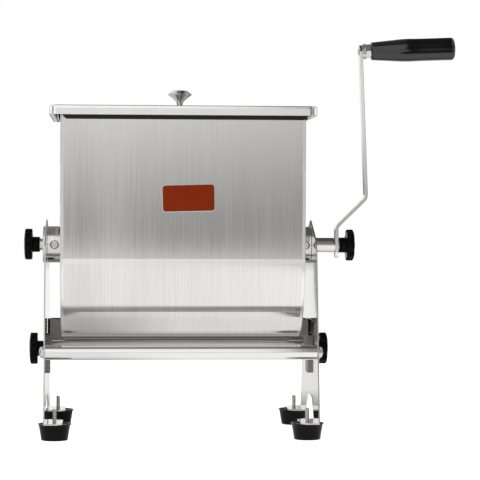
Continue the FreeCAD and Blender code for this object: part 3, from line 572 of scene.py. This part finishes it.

# Tie tubes with their plugs, screws and washers
# Two polished round tubes between the legs, held at each end by a plated button head screw. The
# polish leaves fine lines along them. The rear one is the same steel, painted darker and rougher
# as painted shade for the shade it lies in behind the front tube and under the tank.
tube_steel = metal_material("polished_tube_steel", "#DDDBD8", (0.02, 1.0, 1.0), roughness=0.09,
                            grain_mm=0.6, depth_mm=0.002, contrast=0.03)
# Painted shade: the same polished steel, coloured darker and made rougher for the rear tube.
dull_tube_steel = metal_material("dull_tube_steel", "#A8A29D", (0.02, 1.0, 1.0), roughness=0.2,
                                 grain_mm=0.6, depth_mm=0.003, contrast=0.05)
finish(tube_steel, "tie_tube")
finish(dull_tube_steel, "tie_tube_rear")
finish(plated_steel, "tie_screws", "tie_washers")

# Tilt lock
# A block of hot rolled steel welded to each leg, and a bent lug of it on each tank end, pickled to
# a dull mottled grey. A strip of matt rubber on each lug takes its play against the leg, on the
# right against a thin plate of the same steel.
mill_steel = metal_material("pickled_hot_rolled_steel", "#807D78", (0.5, 0.5, 0.5), roughness=0.42,
                            grain_mm=0.9, depth_mm=0.02, contrast=0.10, mottle_mm=9.0)
finish(mill_steel, "lock_block", "lock_lug")


def plate_mesh(size, corner, edge, origin, across, up, levels=((0, 0), (1, 0)), steps=6):
    """A plate with round corners, a rounded front edge and a back dished by the edge's size.

    Levels are (share of the thickness, inset), from the back to the front.
    """
    width, height, thickness = size
    across, up = Vector(across).normalized(), Vector(up).normalized()
    out = across.cross(up)
    bm = bmesh.new()
    stack = []
    last = len(levels) - 1
    for index, (share, inset) in enumerate(levels):
        level = share * thickness
        if index not in (0, last):
            stack.append((level, inset))
            continue
        for angle in (math.radians(turn) for turn in (0, 30, 60, 90)):
            back = edge * (1 - math.sin(angle))
            if index == 0:
                stack.append((level + back, inset + back))
            else:
                stack.append((level - back, inset + edge * (1 - math.cos(angle))))
    rings = []
    for height_out, inset in stack:
        ring = []
        reach = max(corner - inset, edge)
        for quarter in range(4):
            side_x = (1, -1, -1, 1)[quarter]
            side_y = (1, 1, -1, -1)[quarter]
            for i in range(steps + 1):
                angle = math.radians(90 * quarter + 90 * i / steps)
                x = side_x * (width / 2 - inset - reach) + reach * math.cos(angle)
                y = side_y * (height / 2 - inset - reach) + reach * math.sin(angle)
                ring.append(bm.verts.new(Vector(origin) + across * x + up * y + out * height_out))
        rings.append(ring)
    for a, b in zip(rings, rings[1:]):
        for i in range(len(a)):
            j = (i + 1) % len(a)
            bm.faces.new((a[i], a[j], b[j], b[i]))
    bm.faces.new(rings[0])
    bm.faces.new(rings[-1])
    bmesh.ops.recalc_face_normals(bm, faces=bm.faces)
    mesh = bpy.data.meshes.new("plate")
    bm.to_mesh(mesh)
    bm.free()
    return mesh


strip_height = 0.0173
strip_width = 0.024
strip_corner = 0.001
cut_edge = 0.0003
strip_rubber = moulded_material("cut_black_rubber_strip", "#0B0B0B", roughness=0.6, grit_mm=0.6,
                                depth_mm=0.01)
for side, sign, strip_thickness in (("left", -1, 0.0031), ("right", 1, 0.0022)):
    lug_low, lug_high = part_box("lock_lug_" + side)
    web_x = lug_low[0] if sign < 0 else lug_high[0]
    strip = plate_mesh((strip_width, strip_height, strip_thickness), strip_corner, cut_edge,
                       (web_x, 0, lug_high[2] - strip_height / 2), (0, sign, 0), (0, 0, 1))
    put("lug_rubber_strip_" + side, strip, strip_rubber, "tank")
wear_height = 0.0175
wear_thickness = 0.0012
wear_front = -0.070
wear_rear = 0.012
wear_corner = 0.002
leg_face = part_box("lock_block_right")[1][0]
wear_plate = plate_mesh((wear_rear - wear_front, wear_height, wear_thickness), wear_corner,
                        cut_edge,
                        (leg_face, (wear_front + wear_rear) / 2, lug_high[2] - wear_height / 2),
                        (0, -1, 0), (0, 0, 1))
put("leg_wear_plate_right", wear_plate, mill_steel, "stand")

# Tank wrap and end panels
# Food grade sheet steel with a brushed No. 4 finish: one strip bent to a U and two flat ends,
# welded along their edges and ground smooth, which leaves a paler band there.
wrap_low, wrap_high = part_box("tank_wrap")
wall_steel = metal_material("brushed_sheet_steel", "#D6D5D2", (1.0, 0.012, 0.012), roughness=0.13,
                            grain_mm=0.8, depth_mm=0.004, anisotropic=1.0, tangent=(1.0, 0.0, 0.0),
                            contrast=0.10, mottle_mm=60.0,
                            band=("X", wrap_low[0], wrap_high[0], 0.0020))
end_steel = metal_material("brushed_end_steel", "#D2D1CE", (0.012, 1.0, 0.012), roughness=0.24,
                           grain_mm=1.1, depth_mm=0.004, anisotropic=0.85, tangent=(0.0, 1.0, 0.0),
                           contrast=0.10, mottle_mm=60.0)
finish(wall_steel, "tank_wrap")
finish(end_steel, "tank_end")

# Rim strips
# Black rubber edging pushed on the front and rear lips of the rim, cut back at 45 degrees at its
# left end. Its skin is nearly matt, and only its lower half shows under the lid.
rim_rubber = moulded_material("extruded_black_edging", "#0E0E0E", roughness=0.45, grit_mm=0.6,
                              depth_mm=0.006, ior=1.3)
lid_low, lid_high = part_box("lid_sheet")
lip_low_z = lid_low[2] - 0.0044
edging_bulge = 0.0007
edging_overlap = 0.0004
edging_depth = 0.0014
edging_gap = 0.0002
edging_left = 0.0016
edging_right = 0.0010
edging_left_cut = ((0.0008, 0.0030), (0.0040, 0.0))
edging_right_cut = ((0.0012, 0.0), (0.0004, 0.0012))
edging_levels = ((-edging_depth, 0.0), (0.3 * edging_bulge, 0.0), (edging_bulge, 0.0004),
                 (edging_bulge, 0.0012))


def rim_strip(outer_y, sign):
    """A strip with cut ends whose rounded outer face stands a little proud of the lip."""
    bm = bmesh.new()
    rings = []
    top = lid_low[2] - edging_gap
    low = lip_low_z - edging_overlap
    for out, inset in edging_levels:
        y = outer_y + sign * out
        x0, x1 = wrap_low[0] + edging_left + inset, wrap_high[0] + edging_right - inset
        z0, z1 = low + inset, top - inset * 0.4
        left_cut = [(x0 + back, y, z0 + rise) for back, rise in edging_left_cut]
        right_cut = [(x1 - back, y, z0 + rise) for back, rise in edging_right_cut]
        outline = [(x0, y, z1), *left_cut, *right_cut, (x1, y, z1)]
        rings.append([bm.verts.new(point) for point in outline])
    for a, b in zip(rings, rings[1:]):
        for i in range(len(a)):
            j = (i + 1) % len(a)
            bm.faces.new((a[i], a[j], b[j], b[i]))
    bm.faces.new(rings[0])
    bm.faces.new(rings[-1])
    bmesh.ops.recalc_face_normals(bm, faces=bm.faces)
    mesh = bpy.data.meshes.new("strip")
    bm.to_mesh(mesh)
    bm.free()
    return mesh


for where, y, sign in (("front", wrap_low[1], -1), ("rear", wrap_high[1], 1)):
    put("rim_strip_" + where, rim_strip(y, sign), rim_rubber, "tank")

# Weld beads
# Rows of overlapping drops, as a hand held torch leaves them, brushed to a mottled grey: lugs and
# hubs on the tank, paddle arms on the shaft. Geometry Nodes lay the drops along each seam.
weld_steel = metal_material("brushed_weld_bead", "#B9B4AC", (0.5, 0.5, 0.5), roughness=0.3,
                            grain_mm=0.9, depth_mm=0.01, contrast=0.12, mottle_mm=6.0)
bead_tree, ins = node_tree("weld_beads", "Spacing", "Radius")
seam = add(bead_tree, "GeometryNodeMeshToCurve", inputs={"Mesh": ins["Geometry"]})
dots = add(bead_tree, "GeometryNodeResampleCurve", {"mode": "LENGTH"}, {
    "Curve": seam.outputs["Curve"], "Length": ins["Spacing"]})
drop = add(bead_tree, "GeometryNodeMeshIcoSphere", inputs={
    "Radius": ins["Radius"], "Subdivisions": 2})
swell = add(bead_tree, "FunctionNodeRandomValue", {"data_type": "FLOAT_VECTOR"}, {
    "Min": (0.85, 0.85, 0.85), "Max": (1.15, 1.15, 1.15), "Seed": 7})
drops = add(bead_tree, "GeometryNodeInstanceOnPoints", inputs={
    "Points": dots.outputs["Curve"], "Instance": drop.outputs["Mesh"],
    "Scale": swell.outputs["Value"]})
close_tree(bead_tree, drops.outputs["Instances"], ins["Material"])


def ring_path(centre, radius, steps=48):
    return [Vector(centre) + Vector((0, radius * math.cos(a), radius * math.sin(a)))
            for a in (2 * math.pi * i / steps for i in range(steps + 1))]


bead_spacing = 0.0006
bead_radius = 0.0007
lug_seam = (0.0195, 0.0005)
tank_seams = []
for side, sign in (("left", -1), ("right", 1)):
    hub_low, hub_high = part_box("hub_" + side)
    hub_radius = (hub_high[2] - hub_low[2]) / 2
    hub_middle = middle_of("hub_" + side)
    face_x = hub_high[0] if sign < 0 else hub_low[0]
    tank_seams.append(ring_path((face_x, 0, hub_middle.z), hub_radius))
    lug_low, lug_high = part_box("lock_lug_" + side)
    for y in (lug_low[1], lug_high[1]):
        tank_seams.append([(face_x, y, lug_high[2] - depth) for depth in lug_seam])
put("weld_beads_tank", grow(lines_mesh(tank_seams), bead_tree, weld_steel, Spacing=bead_spacing,
                            Radius=bead_radius), weld_steel, "tank")

# Label plate
# A bare domed label: a thin bright aluminium plate with round corners, and red-brown enamel
# poured on it, which stands up a little and stops short of the plate's edge.
label_tilt = math.radians(1.4)
label_size = (0.063, 0.0325)
label_corner = 0.004
label_thickness = 0.0006
label_edge = 0.0002
enamel_height = 0.0011
enamel_edge = 0.0001
enamel_levels = ((0.3, 0.0003), (0.62, 0.0005), (0.84, 0.0014), (0.95, 0.0028), (1.0, 0.0055))
label_middle = middle_of("label_plate")
label_base = (label_middle.x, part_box("label_plate")[1][1], label_middle.z)
label_across = (math.cos(label_tilt), 0, math.sin(label_tilt))
label_up = (-math.sin(label_tilt), 0, math.cos(label_tilt))
aluminium = metal_material("bright_label_aluminium", "#E3E3E3", (0.5, 0.5, 0.5), roughness=0.25,
                           grain_mm=0.6, depth_mm=0.002)
enamel = moulded_material("red_brown_label_enamel", "#722409", roughness=0.55, grit_mm=0.5,
                          depth_mm=0.004, spread=0.04, ior=1.12)
label_plate = plate_mesh((*label_size, label_thickness), label_corner, label_edge, label_base,
                         label_across, label_up)
put("label_backing", label_plate, aluminium, "tank", ("label_plate",))
dome_mesh = plate_mesh((*label_size, enamel_height), label_corner, enamel_edge, label_base,
                       label_across, label_up, levels=enamel_levels)
put("label_enamel", dome_mesh, enamel, "tank", sharp=60)

# Hubs, collars and set screws
# Round hubs turned from stainless bar and welded to the tank's ends, with fine rings from the
# tool. The wide collar outside the left leg is blasted to a satin grey.
turned_steel = metal_material("turned_bar_steel", "#CFCBC6", (1.0, 0.02, 0.02), roughness=0.10,
                              grain_mm=0.5, depth_mm=0.002, contrast=0.08, spread=0.02,
                              mottle_mm=5.0)
satin_steel = metal_material("blasted_satin_steel", "#DDDCDA", (1.0, 1.0, 1.0), roughness=0.38,
                             grain_mm=0.5, depth_mm=0.012, contrast=0.05)
finish(turned_steel, "hub_left", "hub_right", "hub_collar_right", "pivot_pin")
finish(satin_steel, "hub_collar_left")
finish(plated_steel, "hub_set_screws")

# Bushes and seals
# The shaft's bearings are turned from white bearing plastic and pressed into the hubs. A ring of
# grey food grade rubber seals the shaft behind each.
bush_plastic = moulded_material("white_bearing_plastic", "#DEDDD6", roughness=0.4, grit_mm=0.4,
                                depth_mm=0.005)
finish(bush_plastic, "shaft_bush")
seal_rubber = moulded_material("grey_seal_rubber", "#8C8D8F", roughness=0.5, grit_mm=0.5,
                               depth_mm=0.01)
finish(seal_rubber, "shaft_seal")

# Lid
# A shallow tray pressed from bright sheet steel with a fine satin on its lips. The lips lean in a
# little under the bend. Its faces that look down are painted dark grey as painted shade, which the
# hubs mirror. A turned mushroom knob stands on a screw from below.
# Painted shade: faces that look down get a dark grey and more roughness, for the shade under the
# lid.
lid_steel = metal_material("satin_lid_steel", "#E4E4E3", (0.05, 0.30, 1.0), roughness=0.14,
                           grain_mm=0.7, depth_mm=0.004, wave_mm=0.12, mottle_mm=3.0, edge_mm=0.3,
                           patch=((0, 0, -1), False, "#6E6963"))
lid_corner = 0.009
lid_corner_least = 0.0005
lid_corner_steps = 12
lid_flat_hold = 0.0006
lid_thickness = 0.0012
lid_middle_inset = lid_thickness + 0.0300
lid_outside = [(0.0001, 0.0114), (0.0, 0.0113), (0.0, 0.0111), (0.0, 0.0036), (0.0, 0.0034),
               (0.00003, 0.0032), (0.00018, 0.0022), (0.00038, 0.0013), (0.00058, 0.0008),
               (0.00088, 0.0004), (0.00130, 0.0001), (0.0018, 0.0), (0.0022, 0.0)]
lid_inside = [(lid_thickness + 0.0013, lid_thickness), (lid_thickness + 0.0010, lid_thickness),
              (lid_thickness + 0.0003, lid_thickness + 0.0003),
              (lid_thickness, lid_thickness + 0.0010), (lid_thickness, lid_thickness + 0.0013),
              (lid_thickness, 0.0111), (lid_thickness, 0.0113), (lid_thickness - 0.0001, 0.0114)]


def tray_mesh(low, high):
    """A closed tray, as rings from the lips' low edge over the top and back down inside."""
    levels = lid_outside + [(lid_middle_inset, 0.0), (lid_middle_inset, lid_thickness)] + lid_inside
    corner_turns = [(90 * i / lid_corner_steps, 0.0) for i in range(lid_corner_steps + 1)]
    turns_and_holds = [(0, -lid_flat_hold)] + corner_turns + [(90, lid_flat_hold)]
    bm = bmesh.new()
    rings = []
    for inset, depth in levels:
        reach = max(lid_corner - inset, lid_corner_least)
        ring = []
        for quarter in range(4):
            middle_x = high[0] - inset - reach if quarter in (0, 3) else low[0] + inset + reach
            middle_y = high[1] - inset - reach if quarter in (0, 1) else low[1] + inset + reach
            for turn, along in turns_and_holds:
                angle = math.radians(90 * quarter + turn)
                x = middle_x + reach * math.cos(angle) - along * math.sin(angle)
                y = middle_y + reach * math.sin(angle) + along * math.cos(angle)
                ring.append(bm.verts.new((x, y, high[2] - depth)))
        rings.append(ring)
    flat_top = len(lid_outside)
    for index, (a, b) in enumerate(zip(rings, rings[1:] + rings[:1])):
        if index != flat_top:
            for i in range(len(a)):
                j = (i + 1) % len(a)
                bm.faces.new((a[i], a[j], b[j], b[i]))
    bm.faces.new(rings[flat_top])
    bm.faces.new(rings[flat_top + 1])
    bmesh.ops.recalc_face_normals(bm, faces=bm.faces)
    mesh = bpy.data.meshes.new("tray")
    bm.to_mesh(mesh)
    bm.free()
    return mesh


put("lid_tray", tray_mesh(lid_low, lid_high), lid_steel, "lid", ("lid_sheet",),
    sharp=35)
finish(plated_steel, "lid_knob_screw")


def smooth_run(points, steps=6):
    """Points of a soft curve through the given ones."""
    run = []
    for i in range(len(points) - 1):
        before, after = points[max(i - 1, 0)], points[min(i + 2, len(points) - 1)]
        for k in range(steps):
            t = k / steps
            run.append(tuple(
                0.5 * (2 * b + (c - a) * t + (2 * a - 5 * b + 4 * c - d) * t ** 2
                       + (3 * b - a - 3 * c + d) * t ** 3)
                for a, b, c, d in zip(before, points[i], points[i + 1], after)))
    return run + [points[-1]]


knob_steel = metal_material("turned_knob_steel", "#C6C1BB", (0.02, 0.02, 1.0), roughness=0.18,
                            grain_mm=0.45, depth_mm=0.004, mottle_mm=4.0)
knob_low, knob_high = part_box("lid_knob")
knob_middle = middle_of("lid_knob")
rim_reach = (knob_high[0] - knob_low[0]) / 2
rim_edge = 0.0006
rim_height = 0.0188
neck_run = smooth_run([(0.0010, 0.0056), (0.0028, 0.0042), (0.0048, 0.0037), (0.0066, 0.0037),
                       (0.0093, 0.0045), (0.0120, 0.0067), (0.0148, 0.0100), (0.0170, 0.0129),
                       (rim_height - rim_edge, rim_reach - rim_edge * 0.8)])
cap_run = smooth_run([(rim_height + rim_edge, rim_reach - rim_edge * 0.6), (0.0213, 0.0122),
                      (0.0232, 0.0096), (0.0238, 0.0084), (0.0241, 0.0050), (0.0243, 0.0)])
knob_profile = [(0, 0), (0, 0.0060), (0.0007, 0.0060)] + neck_run
knob_profile += edge_arc(rim_height, rim_reach - rim_edge, rim_edge, -45, 45) + cap_run
lid_knob = turned_mesh(knob_profile, (knob_middle.x, knob_middle.y, knob_low[2]), (0, 0, 1),
                       steps=96)
put("lid_knob_turned", lid_knob, knob_steel, "lid", ("lid_knob",), sharp=50)

# Lid liners
# Two strips of matt white under the ends of the lid, each pressed into the corner between the top
# and the end lip. Their white is painted light: it stands for the light that the steel of the end
# lips' inner faces mirrors.
# Painted light: a matt white lining over the inner face of each end lip.
silicone = moulded_material("white_silicone", "#F2F2F0", roughness=0.5, grit_mm=0.5, depth_mm=0.01)
liner_width = 0.004
liner_height = 0.0095
liner_back = 0.0014
liner_length = lid_high[1] - lid_low[1] - 0.0034
liner_lift = 0.0003
liner_corner = 0.0006
for side, sign in (("left", -1), ("right", 1)):
    end_x = (lid_low[0] if sign < 0 else lid_high[0]) - sign * liner_back
    liner = plate_mesh((liner_length, liner_height, liner_width), liner_corner, cut_edge,
                       (end_x, 0, lid_low[2] + liner_lift + liner_height / 2),
                       (0, -sign, 0), (0, 0, 1))
    put("lid_liner_" + side, liner, silicone, "lid")

# Paddles and their shaft
# Cut plates welded across a round bar inside the tank, blasted to an even grey, with a bead
# along both sides of each arm.
paddle_steel = metal_material("blasted_paddle_steel", "#BDBCB9", (0.6, 0.6, 0.6), roughness=0.36,
                              grain_mm=0.8, depth_mm=0.01, contrast=0.07)
finish(paddle_steel, "paddle")
finish(turned_steel, "drive_cross_pin")
shaft_middle = middle_of("paddle_shaft")
shaft_low, shaft_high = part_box("paddle_shaft")
shaft_radius = (shaft_high[2] - shaft_low[2]) / 2
arm_half = 0.010
arm_face = 0.0025
paddle_seams = []
for index in range(4):
    low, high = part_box("paddle_" + str(index + 1))
    x = (low[0] + high[0]) / 2
    turn = Matrix.Rotation(math.radians(90 * index), 3, "X")
    for face in (-1, 1):
        rise = math.sqrt(shaft_radius ** 2 - arm_face ** 2)
        ends = [turn @ Vector((0, face * arm_face, rise))
                + Vector((x + end * arm_half, 0, shaft_middle.z)) for end in (-1, 1)]
        paddle_seams.append(ends)
put("weld_beads_shaft", grow(lines_mesh(paddle_seams), bead_tree, weld_steel, Spacing=bead_spacing,
                             Radius=bead_radius * 1.2), weld_steel, "mixing_shaft")

# Drive shaft and crank arm
# The thick sleeve is turned bar gone a little brown from heat. The arm is flat bar bent cold,
# brushed along its length.
sleeve_steel = metal_material("heat_tinted_turned_steel", "#DAD4CE", (1.0, 0.02, 0.02),
                              roughness=0.09, grain_mm=0.5, depth_mm=0.002, spread=0.02,
                              mottle_mm=5.0)
finish(sleeve_steel, "drive_shaft")
arm_steel = metal_material("brushed_flat_bar_steel", "#E0DEDB", (1.0, 1.0, 0.03), roughness=0.08,
                           grain_mm=0.6, depth_mm=0.002, spread=0.02, mottle_mm=14.0,
                           edge_mm=0.9)
finish(arm_steel, "crank_arm")

# Star knobs
# Four moulded knobs of black nylon with seven lobes, each on a plated stud with a washer. The
# face is a low dome with a plug pressed into its middle, and its skin has a soft shine.
knob_nylon = moulded_material("moulded_black_nylon", "#030303", roughness=0.22, grit_mm=0.5,
                              depth_mm=0.008, ior=1.14)
lobe_count = 7
hub_length = 0.0092
hub_reach = 0.0095
hub_chamfer = 0.0006
hub_fillet = 0.0012
hub_groove = (0.0022, 0.0024, 0.0028, 0.0030)
hub_groove_depth = 0.0003
knob_reach = 0.0195
knob_length = 0.0197
knob_dome = 0.0014
lobe_edge = 0.0017
flute_radius = 0.0054
flute_circle = 0.0221
flute_blend = 0.0014
flute_start = 0.62


def lobed(angle, radius):
    """Reach of a star knob at an angle: the radius, cut back softly in each flute."""
    if radius < knob_reach * flute_start:
        return radius
    pitch = 2 * math.pi / lobe_count
    off = (angle + pitch / 2) % pitch - pitch / 2
    off = abs(off) - pitch / 2
    across = flute_circle * math.sin(off)
    depth = math.sqrt(max(flute_radius ** 2 - across ** 2, 0.0))
    flute = flute_circle * math.cos(off) - depth - (knob_reach - radius)
    gap = max(flute_blend - abs(radius - flute), 0.0) / flute_blend
    return min(radius, flute) - gap * gap * flute_blend / 4


star_profile = [(0, 0), (0, hub_reach - hub_chamfer), (hub_chamfer, hub_reach),
                (hub_groove[0], hub_reach), (hub_groove[1], hub_reach - hub_groove_depth),
                (hub_groove[2], hub_reach - hub_groove_depth), (hub_groove[3], hub_reach)]
star_profile += edge_arc(hub_length - hub_fillet, hub_reach + hub_fillet, hub_fillet, 180, 90)
star_profile += edge_arc(hub_length + lobe_edge, knob_reach - lobe_edge, lobe_edge, -90, 0)
star_rim = knob_length - knob_dome
star_profile += edge_arc(star_rim - lobe_edge, knob_reach - lobe_edge, lobe_edge, 0, 80)
star_profile += [(star_rim + knob_dome * 0.42, knob_reach * 0.76),
                 (star_rim + knob_dome * 0.75, knob_reach * 0.52),
                 (star_rim + knob_dome * 0.80, 0.0082), (star_rim + knob_dome * 0.58, 0.0079),
                 (star_rim + knob_dome * 0.58, 0.0076), (star_rim + knob_dome * 0.86, 0.0073),
                 (knob_length - 0.0001, 0.0040), (knob_length, 0)]
# Each star: its node, its body, the side it looks to and the turn of its lobes in degrees.
stars = (("lock_knob_left", "lock_left_knob", -1, -90),
         ("lock_knob_right", "lock_right_knob", 1, 90),
         ("pivot_knob", "pivot_knob", -1, 0), ("crank_knob", "crank_knob", 1, 90))
for node, body, sign, turned_by in stars:
    low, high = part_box(node)
    seat_x = high[0] if sign < 0 else low[0]
    axis_low, axis_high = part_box(node.replace("knob", "stud"))
    height = (axis_low[2] + axis_high[2]) / 2
    star = turned_mesh(star_profile, (seat_x, 0, height), (sign, 0, 0), steps=168,
                       outline=lambda angle, radius: lobed(angle - math.radians(turned_by), radius))
    put("star_" + node, star, knob_nylon, body, (node,), sharp=50)
finish(plated_steel, "lock_stud", "lock_washer", "pivot_stud", "pivot_washer", "crank_stud",
       "crank_washer")

# Grip, its bolt, nut and washers
# A handle moulded from glossy black resin turns on a bolt through the arm. A split washer, a
# flat washer and an M10 nut hold the bolt, and a plug closes the handle's end.
finish(plated_steel, "grip_bolt", "grip_spring", "grip_flat", "grip_nut")
grip_resin = moulded_material("glossy_black_resin", "#030303", roughness=0.11, grit_mm=0.8,
                              depth_mm=0.001, spread=0.02, ior=1.6)
nut_middle = middle_of("grip_nut")
cap_middle = middle_of("grip_end_cap")
grip_axis = (cap_middle - nut_middle).normalized()
nut_half = 0.0033
cap_half = 0.003
grip_gap = 0.0003
grip_length = (cap_middle - nut_middle).length + cap_half - nut_half - grip_gap
grip_base = nut_middle + grip_axis * (nut_half + grip_gap)
end_round = 0.0034
cap_recess = 0.0009
side_run = smooth_run([(0.001, 0.0112), (0.021, 0.0127), (0.042, 0.0142), (0.064, 0.0140),
                       (grip_length - end_round, 0.0141)], steps=10)
end_run = smooth_run([(grip_length - end_round, 0.0141), (grip_length - 0.0012, 0.0129),
                      (grip_length - 0.0002, 0.0108), (grip_length, 0.0092)])
grip_profile = [(0, 0), (0, 0.0102), (0.0003, 0.0108)] + side_run + end_run[1:]
grip_profile += [(grip_length - 0.0002, 0.0088), (grip_length - cap_recess, 0.0087),
                 (grip_length - cap_recess, 0)]
grip_mesh = turned_mesh(grip_profile, grip_base, grip_axis, steps=96)
put("grip_handle_turned", grip_mesh, grip_resin, "grip", ("grip_handle",), sharp=50)
cap_profile = [(-0.0004, 0), (-0.0004, 0.0083), (0.0002, 0.0083), (0.0005, 0.0080),
               (0.0007, 0.0040), (0.00072, 0)]
cap_base = grip_base + grip_axis * (grip_length - cap_recess)
cap_mesh = turned_mesh(cap_profile, cap_base, grip_axis, steps=64)
put("grip_cap_turned", cap_mesh, grip_resin, "grip", ("grip_end_cap",))
